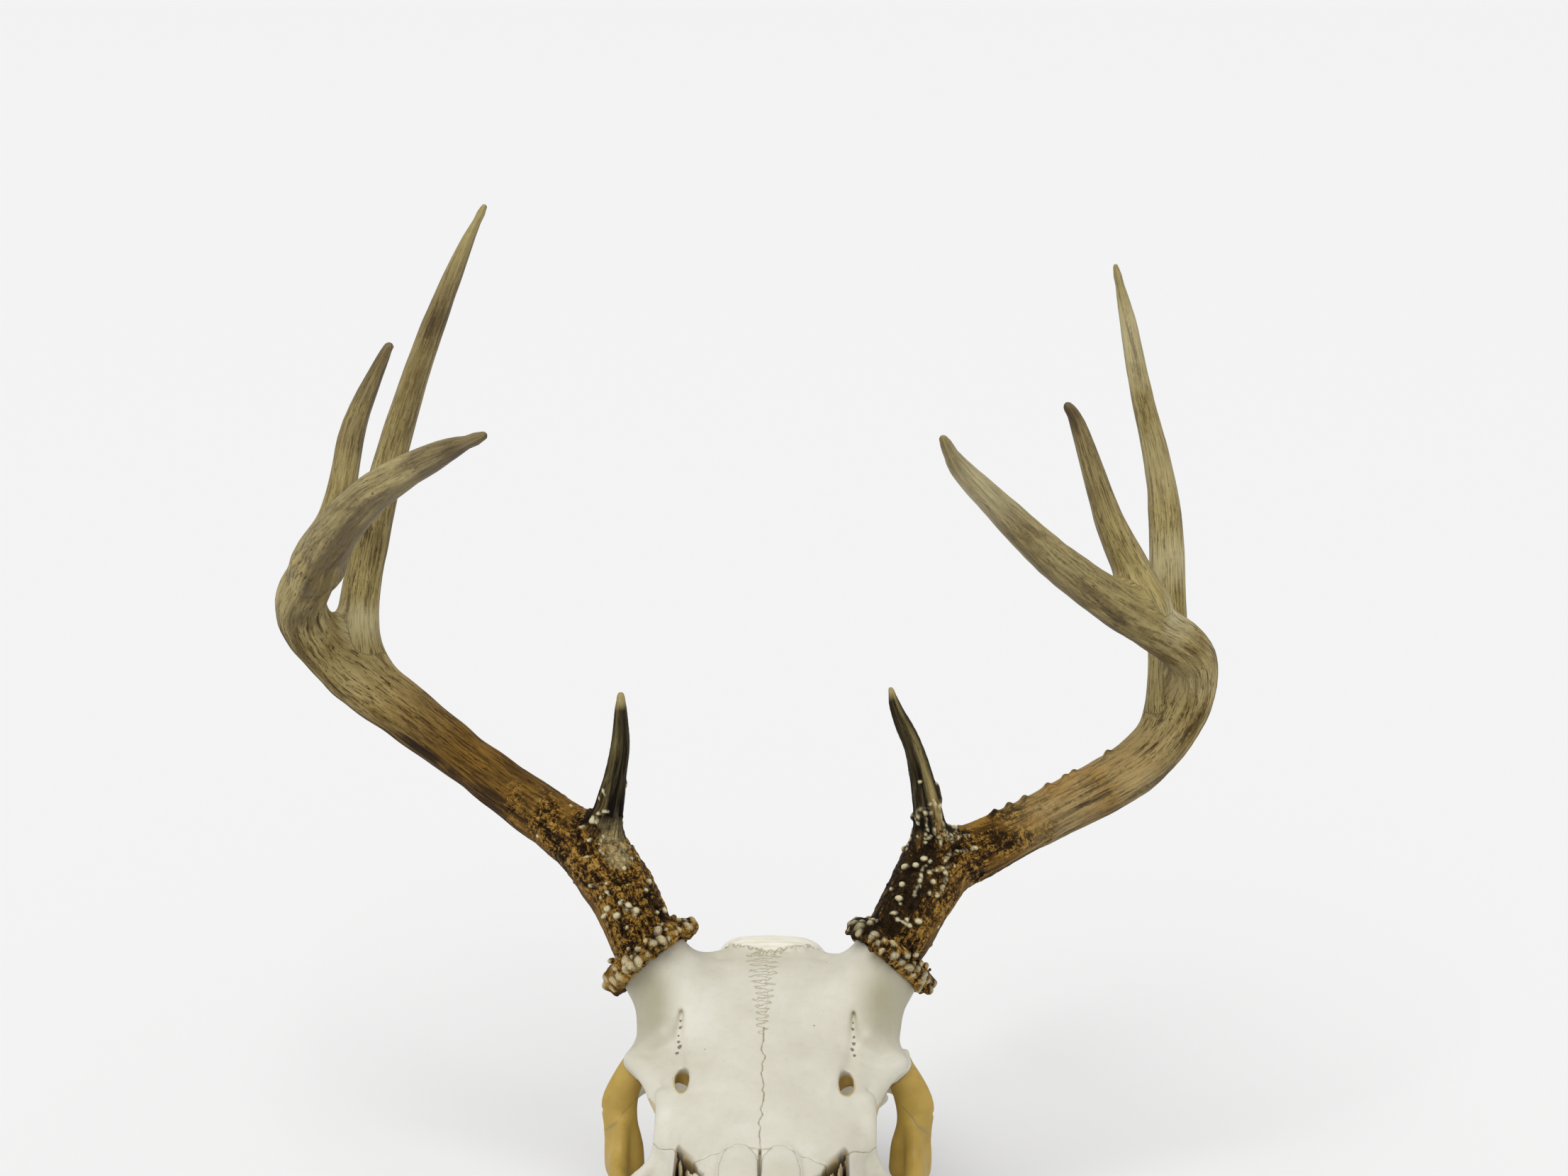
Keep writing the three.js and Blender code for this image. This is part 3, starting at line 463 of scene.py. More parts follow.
# Thin scrolls and the middle plate stand inside the nose.
for path in ([[7.5, 74, 52, 3.4, 1.1], [9, 92, 56, 5, 1.5], [11, 118, 59, 6, 2]],
             [[8.5, 70, 39, 3, 1.2], [10.5, 92, 40, 5.4, 1.6], [12, 118, 42, 6, 2]],
             [[4.6, 84, 47, 2.4, 0.9], [5.4, 118, 50, 4, 1.3]]):
    clay.add(bar(path, (0.3, 0, 1)), 0.8)
plate = [[58, 21], [122, 21], [122, 66], [96, 63], [80, 50]]
plateHalf = 1.0
clay.add((np.array([-4.0, 56, 20]), np.array([4.0, 122, 68]),
          lambda x, y, z: np.maximum(outlineDistance(plate, y, z), np.abs(x) - plateHalf)), 0.8)
report("cranium shaped")

teeth = {
    "first": 95, "height": 22,
    "lengths": [9.6, 10.6, 11, 14.5, 15.6, 15.6],
    "widths": [8.2, 10.2, 11.6, 14, 15, 13.6],
    "rowCentre": [[95, 21], [110, 24], [130, 27.5], [150, 28.6], [172, 27]],
}


def toothLobe(centre, across, along, height):  # a squarish column with a rib down its cheek side
    def distance(x, y, z):
        waist = 1 - 0.012 * np.clip(z - 6, 0, 20) - 0.01 * np.clip(6 - z, 0, 6)
        u, v = np.abs(x - centre[0]) / (across * waist), np.abs(y - centre[1]) / (along * waist)
        fullness = (u**2.6 + v**2.6 + 1e-9)**(1 / 2.6)
        out = (fullness - 1) * min(across, along)
        rib = np.hypot(x - centre[0] - across * 0.94, y - centre[1]) - 0.9
        out = smoothMin(out, rib, 1.2)
        return smoothMax(out, z - height, 2)

    reach = np.array([across + 2, along + 2, 0])
    return np.array([*centre, -2]) - reach, np.array([*centre, height]) + reach, distance


rowCentreAt = profile(teeth["rowCentre"])
start = teeth["first"]
for length, width in zip(teeth["lengths"], teeth["widths"]):
    lobes = 1 if length < 12 else 2
    for lobe in range(lobes):
        y = start + length * (lobe + 0.5) / lobes
        x = float(rowCentreAt(y))
        clay.add(toothLobe([x, y], width / 2, length / lobes / 2 * 0.97, teeth["height"]), 0.5)
        clay.cut(ellipsoid([x + width * 0.1, y, 0], [width * 0.07, length / lobes * 0.26, 2.2]), 0.4)
        clay.cut(ellipsoid([x - width * 0.17, y, 0], [width * 0.06, length / lobes * 0.24, 1.8]), 0.4)
    clay.cut(ellipsoid([x + width * 0.55, start, 6], [1.2, 0.7, 9]), 0.5)
    start += length
report("teeth set")

burrAxis = np.array(cranium["burrAxis"]) / np.linalg.norm(cranium["burrAxis"])
where, x, y, z = clay.window([10, 190, 90], clayHigh)
overBurr = cutPlane(np.array(cranium["burrPlace"]) - 4.3 * burrAxis, -burrAxis)(x, y, z)
clay.field[where] = np.maximum(clay.field[where], -np.maximum(overBurr, 14 - x))
heights = clay.low[2] + step * np.arange(clay.field.shape[2])
clay.field = np.maximum(clay.field, -heights.astype(np.float32)[None, None, :])
clay.field[:pad] = clay.field[2 * pad:pad:-1]


# The cranium is parted into its bones along ragged sutures.

def ripple(a, b, seed, size=1.0):
    return size * (0.9 * flatNoise(a, b, 3.4, seed) + 0.55 * flatNoise(a, b, 1.5, seed + 1))


def sideRegion(outline, inner, seed, size=1.0, top=False):
    outline = np.array(outline, float)
    low = np.array([-74.0, outline[:, 0].min(), outline[:, 1].min()])
    high = np.array([74.0, outline[:, 0].max(), outline[:, 1].max()])

    def distance(x, y, z):
        out = outlineDistance(outline, y[0], z[0])[None] + ripple(y[0], z[0], seed, size)[None]
        if top:
            out = out + ripple(x[:, :, 0], y[:, :, 0], seed + 3, size)[:, :, None]
        return np.maximum(out, inner - np.abs(x)) if inner else out

    return low, high, distance


nasalOutline = [[-20, 43], [0, 43], [5, 46], [8.5, 60], [9.5, 100], [13.5, 120], [14.5, 129],
                [12, 136.5], [8, 139.5], [4.6, 138.6], [1.6, 134.5], [0, 129], [-20, 129]]


def nasalRegion(x, y, z):
    across, back = x[:, :, 0], y[:, :, 0]
    out = outlineDistance(nasalOutline, np.abs(across), back) + 0.35 * ripple(across, back, 11)
    return np.maximum(out[:, :, None], roofAt(y) - 9 - z)


parietalOutline = [[211, 66], [234, 66], [234, 47], [320, 47], [320, 140], [238, 140], [236, 112],
                   [221, 96], [211, 80]]


def parietalRegion(x, y, z):  # its front edge swings back on both sides of the middle
    swing = -3.5 + 9 * np.clip(np.abs(x) / 20, 0, 1.3)**1.3
    ragged = 1.5 * ripple(x[:, :, 0], y[:, :, 0], 40, 1.0)[:, :, None] + ripple(y[0], z[0], 37, 0.7)[None]
    return outlineDistance(parietalOutline, y - swing, z) + ragged


def sphenoidRegion(x, y, z):
    front = np.maximum(np.maximum(np.abs(x) - 14, 112 - y), 26 - z)
    wide = np.maximum(np.maximum(np.abs(x) - 26, 162 - y), 12 - z)
    behind = np.maximum(np.maximum(np.minimum(front, wide), y - 234), z - 66)
    behind = behind + ripple(y[0], z[0], 17, 0.7)[None]
    return np.minimum(behind, inNose(x, y, z, 0.9))


cheek = sideRegion([[158, 32.8], [216, 42], [224, 70], [208, 70], [208, 98], [186, 98], [187, 66],
                    [164, 62], [150, 60], [141, 56], [145, 50], [140, 43], [149, 37]], 32, 29, 0.5)


def zygomaticRegion(x, y, z):  # its bar ends under a slanted corner of the brow
    ragged = 0.5 * flatNoise(x[:, :, 0], y[:, :, 0], 3, 31)[:, :, None]
    underBrow = z - 90.5 + 1.2 * (51.5 - np.abs(x)) + ragged
    onlyArch = np.minimum(42 - np.abs(x), y - 204)  # leaves the wall of the temple whole
    return np.maximum(np.maximum(cheek[2](x, y, z), underBrow), onlyArch)


def earAndTemple(x, y, z):
    return np.minimum(ear[2](x, y, z), temple[2](x, y, z))


def whatIsLeft(x, y, z):  # the last bone takes all that the others leave
    return np.full((1, 1, 1), -farAway)


ear = sideRegion([[227, 8], [259, 8], [259, 43], [227, 43]], 10.5, 41, 0.4)
temple = sideRegion([[206, 42], [262, 42], [263, 60], [259, 70], [250, 77], [238, 81], [226, 80],
                     [216, 74], [209, 64], [206, 52]],
                    24, 43)
regions = [
    ("nasal", (np.array([-20.0, 42, 48]), np.array([20.0, 142, 100]), nasalRegion)),
    ("premaxilla",
     sideRegion([[-6, 5], [47, 5], [48, 30], [80, 58], [76, 66], [60, 80], [-6, 80]], 0, 21, 0.6)),
    ("lacrimal", sideRegion([[141, 57], [163, 61], [164, 70], [156, 79], [151, 80], [146, 82],
                             [143, 92], [137, 90], [134, 83], [138, 76], [133, 69],
                             [137, 63]], 29.6, 25, 1.3)),
    ("zygomatic", (np.array([-74.0, 140, 30]), np.array([74.0, 224, 100]), zygomaticRegion)),
    ("temporal", (np.array([-74.0, 206, 8]), np.array([74.0, 262, 80]), earAndTemple)),
    ("occipital",
     sideRegion([[234, -8], [310, -8], [310, 120], [268, 120], [264, 96], [262, 48], [234, 48]],
                0, 33, 0.8, True)),
    ("sphenoid", (np.array([-28.0, 56, 10]), np.array([28.0, 236, 68]), sphenoidRegion)),
    ("parietal", (np.array([-74.0, 208, 44]), np.array([74.0, 320, 136]), parietalRegion)),
    ("frontal", sideRegion([[139, 66], [150, 60], [320, 40], [320, 160], [130, 160]], 0, 47, 0.9, True)),
    ("maxilla", (np.array([-74.0, 40, -2]), np.array([74.0, 190, 100]), whatIsLeft)),
]


def midline(y, z):  # the wavy joint between left and right
    wave = 0.95 * flatNoise(y, z * 0.3, 3.4, 51) + 0.6 * flatNoise(y, z * 0.3, 1.5, 53)
    wave = wave + 0.5 * flatNoise(y, z * 0.2, 14, 55)
    return wave * np.clip((y - 136) / 8, 0.15, 1) - 0.4 * np.clip((y - 140) / 30, 0, 1)


def boneWarp(points):  # small uneven swells, so that the two sides differ
    moved = points.copy()
    for axis in range(3):
        swell = 0.45 * noise(points / 24 + 7.3 * axis, 61 + axis)
        moved[:, axis] += swell + 0.14 * noise(points / 7, 65 + axis)
    x, y, z = np.abs(points[:, 0]), points[:, 1], points[:, 2]
    coronal = np.exp(-((y - 232.5 - 9 * np.clip(x / 20, 0, 1.3)**1.3) / 2.2)**2) * (z > 98) * (x < 34)
    # The edge in front of the crown is knobbly.
    moved[:, 2] += coronal * (0.55 + 1.5 * noise(points / [1.5, 1.9, 1.9], 68))
    knob = np.exp(-(np.linalg.norm(points - [49.4, 204, 90.5], axis=1) / 2.4)**2)
    moved += knob[:, None] * [1.0, 0.6, 2.6]
    moved[:, 0] += 0.9 * np.clip((points[:, 0] - 46) / 6, 0, 1) * (z < 92)
    cheekSide = np.clip((-points[:, 0] - 28) / 7, 0, 1) * np.clip((176 - y) / 10, 0, 1)
    cheekSide = cheekSide * np.clip((y - 138) / 10, 0, 1) * np.clip((z - 66) / 8, 0, 1)
    moved[:, 0] += 1.8 * cheekSide
    keep = np.clip((points[:, 2] - 1) / 8, 0, 1)[:, None]
    moved = points + (moved - points) * keep
    moved[:, 2] = np.maximum(moved[:, 2], 0)
    return moved


def closeness(points, place, reach):
    return np.clip(1 - np.linalg.norm((points - np.array(place)) / np.array(reach), axis=1), 0, 1)


def sampled(field, corner, points):  # the field's value between its samples
    spot = (points - corner) / step
    base = np.clip(np.floor(spot).astype(int), 0, np.array(field.shape) - 2)
    part = np.clip(spot - base, 0, 1)
    out = np.zeros(len(points))
    for k in range(8):
        way = np.array([k & 1, (k >> 1) & 1, k >> 2])
        share = np.prod(np.where(way, part, 1 - part), axis=1)
        out += share * field[tuple((base + way).T)]
    return out


def boneMarks(points, name, seam):
    x, y, z = np.abs(points[:, 0]), points[:, 1], points[:, 2]
    soft = noise(points / 9, 71)
    honey = np.zeros(len(points))
    if name.startswith("zygomatic"):
        honey = np.clip((y - 158 + 5 * soft) / 13, 0, 1)
    if name.startswith("temporal"):
        honey = np.clip((224 - y + 5 * soft) / 12, 0, 1) * (x > 40)
    orbitDistance = np.sqrt(((x - 40) / 20)**2 + ((y - 178) / 20)**2 + ((z - 72) / 20)**2)
    honey = np.maximum(honey, 0.55 * np.clip(1.15 - orbitDistance, 0, 0.3) / 0.3 * (z < 88) * (x < 42))
    nose = np.clip(-inNose(x, y, z, -0.6) / 1.5, 0, 1)
    honey = np.maximum(honey, 0.4 * nose * (z < roofAt(y) - 4))
    inGap = outlineDistance(gapOutline, x, y)
    # Painted shade: this mark darkens the inside of the ragged gap, the foramen, the back of the nose and the
    # hollows of brain and spine.
    pit = np.clip((1.6 - inGap) / 0.6, 0, 1) * np.clip((80.5 + 0.35 * (y - 132) - z) / 9, 0, 1)**0.7
    pit = pit * (z > 55)
    lowInGap = np.clip((81 + 0.35 * (y - 132) - z) / 3, 0, 1) * (z > 55)
    honey = np.maximum(honey, 0.7 * np.clip((0.9 - inGap) / 0.6, 0, 1) * lowInGap)
    foramen = np.sqrt(((x - 29.3) / 3.3)**2 + ((y - 175) / 7)**2)
    inForamen = np.clip((1.2 - foramen) / 0.15, 0, 1) * (z > 78)
    honey = np.maximum(honey, 0.95 * inForamen * np.clip((95.2 - z) / 1.5, 0, 1))
    pit = np.maximum(pit, 0.16 * inForamen * np.clip((93 - z) / 5, 0, 1))
    pit = np.maximum(pit, 0.6 * nose * np.clip((y - 84) / 28, 0, 1))
    brainWall = np.sqrt((x / 22)**2 + ((y - 244) / 28)**2 + ((z - 60) / 16)**2)
    spineWall = np.sqrt((x / 10.5)**2 + ((y - 284) / 32)**2 + ((z - 45) / 10.5)**2)
    pit = np.maximum(pit, (np.minimum(brainWall, spineWall) < 1.08) * np.clip((279 - y) / 26, 0, 0.8))
    coronal = y - (233.5 + 9 * np.clip(x / 20, 0, 1.3)**1.3)
    honey = np.maximum(honey, 0.12 * np.exp(-((coronal - 2.5) / 2.5)**2) * (z > 98) * (x < 36))
    # Darker patches: the outer flank of the pedicle, partly a real stain and partly painted shade on the side
    # turned from the light; a patch low at the nape; a stain along the gums.
    stain = closeness(np.c_[x, y, z], [40, 214, 108], [22, 30, 26])**0.7 * np.clip((x - 30) / 10, 0, 1)
    stain = np.maximum(stain, 0.5 * closeness(np.c_[x, y, z], [20, 262, 45], [40, 40, 40]))
    gumShare = np.clip((27 - z) / 12, 0, 1) * np.clip((y - 86) / 12, 0, 1) * np.clip((184 - y) / 12, 0, 1)
    stain = np.maximum(stain, 0.55 * gumShare * (0.8 + 0.5 * soft))
    toothDistance = np.abs(x - rowCentreAt(y)) - 8.5
    enamel = np.clip((13.5 - z + 1.2 * soft) / 1.5, 0, 1) * (toothDistance < 0) * (y > 93) * (y < 174)
    stitchPlaces, stitchHalves = [188, 193, 212, 229, 233.5, 234.5], [0.2, 1.4, 3.4, 5.6, 5.6, 0]
    stitch = np.interp(y, stitchPlaces, stitchHalves) * (z > 90)
    if name.startswith("zygomatic"):  # fine joint across the bar behind the orbit
        barLine = np.abs((x - 57.6) * 14 + (z - 66) * 12.6) / math.hypot(14, 12.6)
        joint = np.clip(1 - (barLine + 0.4 * noise(points / 2.2, 73)) / 0.7, 0, 1)
        seam = np.maximum(seam, joint * (z > 62) * (x > 43))
    seam = np.clip(seam * np.where((x < 3) & (y > 139) & (z > 84), 1.2, 1), 0, 1)
    seam = seam * np.where((y > 194) & (y < 232.5) & (x < 7) & (z > 90), 0, 1)
    forehead = (z > 92) * (y > 183) * (y < 206) * 1.0
    crown = np.clip((coronal + 2) / 4, 0, 1) * np.clip((z - 92) / 6, 0, 1) * (x < 36)
    edge = (np.abs(coronal) < 6) * (z > 98) * (x < 35) * 1.0
    return {"honey": honey, "forehead": forehead, "stain": stain, "enamel": enamel, "stitch": stitch,
            "pit": pit, "seam": seam, "crown": crown, "edge": edge,
            "coronal": np.c_[points[:, 0], coronal, 0 * y],
            "chart": points + np.c_[np.interp(y, [190, 232], [0.8, 2.1]), 0 * y, 0 * y]}


bonePieces = []
overlap = 0.35 * step  # neighbours reach into each other a little, so that a joint is a fine line
taken = np.full(clay.field.shape, farAway, np.float32)
for name, (low, high, distance) in regions:
    where, x, y, z = clay.window(np.maximum(low - 3, clayLow), high + 3)
    region = np.broadcast_to(distance(x, y, z), clay.field[where].shape)
    outside = np.maximum(region, -taken[where])
    if name != "maxilla":
        taken[where] = np.minimum(taken[where], region)
    origin = np.array([x.ravel()[0], y.ravel()[0], z.ravel()[0]])
    wholes = []
    solid = clay.field[where]
    if name in ("parietal", "occipital", "sphenoid"):
        both = [np.concatenate([part[:pad:-1], part[pad:]]) for part in (solid, outside)]
        wholes.append((name, *both, [-x.ravel()[-1], origin[1], origin[2]], 1))
    else:
        wave = midline(y, z)
        wholes.append((name + "_left", solid, np.maximum(outside, wave - x), origin, 1))
        wholes.append((name + "_right", solid, np.maximum(outside, -wave - x), origin, -1))
    for pieceName, solid, outside, corner, side in wholes:
        whole = np.pad(np.maximum(solid, outside - overlap), 1, constant_values=farAway)
        points, faces = surfaceOf(whole, np.array(corner) - step, step)
        points, faces, _ = largestPart(points, faces)
        seam = np.clip(1 + (sampled(outside, np.array(corner), points) - overlap) / 0.9, 0, 1)
        points[:, 0] *= side
        faces = faces[:, ::side]
        marks = boneMarks(points, pieceName, seam)
        bonePieces.append(makePiece(pieceName, boneWarp(points), faces, marks, 50))
        print("  ", pieceName, len(faces) * 2, "triangles")
report("bones parted")

# The antlers: each branch is a line of [x, y, z, radius] points, from the head out to the tip.

antlers = {
    "step": 0.62,
    "left": {
        "side": 1, "seed": 5, "stripe": 6.5, "burr": [45.3, 230, 121],
        "beam": [[45, 231, 121, 11.6], [52, 239, 132, 12.4], [58, 246, 141, 13], [66, 254, 146.5, 12],
                 [79, 262, 149.5, 10.8], [106, 277, 158, 10], [138, 293, 171, 10.8],
                 [154, 301, 187, 10.4], [160, 298, 208, 9.4], [153, 290, 223, 9.6],
                 [127, 262, 247, 8.3], [101, 230, 275, 6.9], [80, 200, 303, 5.2], [66, 178, 323, 3.6],
                 [60, 167, 336, 0.8]],
        "brow_tine": [[60, 252, 150, 7.6], [59, 249, 164, 6], [56, 251, 182, 4.4], [52, 253, 195, 3.4],
                      [46, 256, 208, 2.4], [44, 258, 215, 0.8]],
        "second_tine": [[152, 302, 194, 8.4], [151, 314, 217, 7.7], [150, 325, 256, 6.6],
                        [146, 330, 283, 5.2], [139, 333, 310, 4.2], [133, 336, 338, 3],
                        [128, 338, 358, 0.8]],
        "third_tine": [[139, 274, 245, 8], [126, 276, 271, 5.8], [121, 278, 284, 4.8],
                       [112, 283, 310, 3], [108, 284, 317, 0.8]],
        "tips": {"beam": 2.2, "brow_tine": 1.5, "second_tine": 1.6, "third_tine": 2.5},
        "worms": [["beam", 10, 40, 5, 1.0], ["beam", 26, 44, 5, 0.7], ["brow_tine", 10, 30, 8, 0.2]],
        "warts": {"runs": (67, 74, 79, 90, 98, 104, 119), "radius": 1.9, "height": 2.2},
        "soot": 1.05,
        "washes": [[150, 280, 240, 15, 0.9], [150.3, 322, 246, 14, 0.8], [135, 335, 330, 22, 0.6],
                   [158, 297, 212, 16, 0.4], [146, 330, 283, 18, 0.25], [106, 277, 160, 26, 0.35],
                   [138, 293, 173, 24, 0.35], [72, 188, 314, 30, 0.5], [110, 283, 312, 24, -0.9],
                   [120, 278, 285, 14, -0.5], [127, 262, 240, 16, -0.4]],
        "forks": {"brow": 0.31, "second": 0.61, "third": 0.76, "brow_tine": 0.24, "second_tine": 0.15,
                  "third_tine": 0.28},
    },
    "right": {
        "side": -1, "seed": 9, "stripe": 2.4, "burr": [45.6, 228, 120.5],
        "beam": [[46, 229, 121, 11.6], [51.5, 236, 132, 12.4], [58.5, 243, 142, 12.6],
                 [70, 252, 153, 12], [84, 260, 160, 10.6], [113, 277, 174, 9.8], [141, 291, 190, 10.6],
                 [157, 297, 200, 11.4], [171, 300, 211, 10.4], [179, 295, 224, 10.2],
                 [180, 287, 237, 9.8], [172, 271, 253, 9.2], [157, 241, 279, 8.3], [140, 216, 300, 7.1],
                 [126, 198, 313, 6], [109, 179, 326, 4.4], [92, 162, 337, 0.8]],
        "brow_tine": [[66, 249, 153, 7.4], [61, 247, 167, 6], [58, 247, 182, 4.3], [56, 249, 195, 3.6],
                      [56, 253, 208, 2.2], [56, 254, 213, 0.8]],
        "second_tine": [[161, 299, 206, 8.8], [162, 312, 229, 7.7], [157, 320, 255, 6.9],
                        [150, 323, 282, 6.2], [141, 326, 310, 5.3], [131, 328, 337, 4.4],
                        [119, 329, 365, 2.7], [111, 330, 381, 0.8]],
        "third_tine": [[168, 265, 259, 7.4], [160, 269, 284, 5.6], [155, 278, 309, 4.6],
                       [144, 285, 334, 2.2], [142, 286, 337, 0.8]],
        "tips": {"beam": 2.2, "brow_tine": 1.9, "second_tine": 1.6, "third_tine": 2.2},
        "worms": [["beam", 10, 38, 5, 1.0], ["brow_tine", 12, 18, 1, 0.3]],
        "warts": {"runs": (), "radius": 1.9, "height": 2.2},
        "soot": 0.1,
        "washes": [[163, 306, 220, 13, 0.9], [176, 287, 240, 20, 0.2], [150, 230, 288, 44, -0.3],
                   [57.5, 242, 167, 7, 1.3], [57, 240, 161, 7, 1.3], [56, 238, 155, 6, 1.2],
                   [144, 285, 334, 36, -0.9], [141, 326, 310, 34, -0.5], [155, 278, 309, 22, -0.6],
                   [131, 328, 337, 34, -0.6], [100, 170, 330, 34, -1.0], [157, 320, 255, 18, -0.5],
                   [100, 270, 163, 34, -1.0], [128, 284, 176, 30, -1.0], [84, 262, 152, 20, -0.7]],
        "forks": {"brow": 0.28, "second": 0.575, "third": 0.74, "brow_tine": 0.24, "second_tine": 0.13,
                  "third_tine": 0.28},
    },
}
branchNames = ["beam", "brow_tine", "second_tine", "third_tine"]


def branchLine(points, tip):  # centres, radii, run along, and a frame that turns smoothly
    rows = smoothed(points, 10)
    centres, radii = rows[:, :3], np.maximum(rows[:, 3], 0.5)
    centres = centres.copy()
    blunt = tip * 0.7
    centres[-1] -= (centres[-1] - centres[-2]) / np.linalg.norm(centres[-1] - centres[-2]) * 0.5
    radii = np.maximum(radii, blunt)
    past = np.linalg.norm(centres - centres[-1], axis=1)
    near = past < tip * 3
    rounded = blunt + (tip - blunt) * np.sqrt(past[near] / (tip * 3)) + past[near] * 0.04
    radii[near] = np.maximum(radii[near], np.minimum(radii[near] + tip, rounded))
    run = np.concatenate([[0], np.cumsum(np.linalg.norm(np.diff(centres, axis=0), axis=1))])
    ahead = np.gradient(centres, axis=0)
    ahead /= np.linalg.norm(ahead, axis=1)[:, None]
    up = np.zeros_like(ahead)
    guide = np.array([0.0, -1.0, 0.3])
    for i, way in enumerate(ahead):
        guide = guide - way * (guide @ way)
        guide /= np.linalg.norm(guide)
        up[i] = guide
    return {"centres": centres, "radii": radii, "run": run, "ahead": ahead, "up": up,
            "aside": np.cross(ahead, up)}


def onBranch(line, along, turn):  # a place on a branch, the way out of it and the way along it
    i = int(np.clip(np.searchsorted(line["run"], along), 1, len(line["run"]) - 1))
    share = np.clip((along - line["run"][i - 1]) / (line["run"][i] - line["run"][i - 1]), 0, 1)
    centre, radius = (line[key][i - 1] * (1 - share) + line[key][i] * share for key in ("centres", "radii"))
    out = line["up"][i] * math.cos(turn) + line["aside"][i] * math.sin(turn)
    return centre + out * radius, out, line["ahead"][i], radius


def nearestOn(line, points):  # index of the nearest sample, and the distance past the surface there
    best = np.full(len(points), 1e9)
    index = np.zeros(len(points), int)
    batch = 20000  # points at a time, to spare memory
    for first in range(0, len(points), batch):
        part = points[first:first + batch]
        gaps = np.linalg.norm(part[:, None] - line["centres"][None], axis=2) - line["radii"][None]
        index[first:first + batch] = gaps.argmin(axis=1)
        best[first:first + batch] = gaps.min(axis=1)
    return index, best


def cappedPiece(points, faces):  # a closed piece from some of the faces, with a fan over each open ring
    used, index = np.unique(faces, return_inverse=True)
    faces = index.reshape(faces.shape)
    own = points[used]
    edges = np.concatenate([faces[:, [k, (k + 1) % 4]] for k in range(4)])
    keys = edges[:, 0] * (len(own) + 1) + edges[:, 1]
    back = edges[:, 1] * (len(own) + 1) + edges[:, 0]
    rim = edges[~np.isin(keys, back)]
    following = {int(a): int(b) for a, b in rim}
    caps, extra = [], []
    while following:
        first, current = next(iter(following.items()))
        ring = [first]
        del following[first]
        while current != first and current in following:
            ring.append(current)
            current = following.pop(current)
        centre = len(own) + len(extra)
        extra.append(own[ring].mean(axis=0))
        caps += [[centre, b, a] for a, b in zip(ring, ring[1:] + ring[:1])]
    return used, own, faces, caps, extra


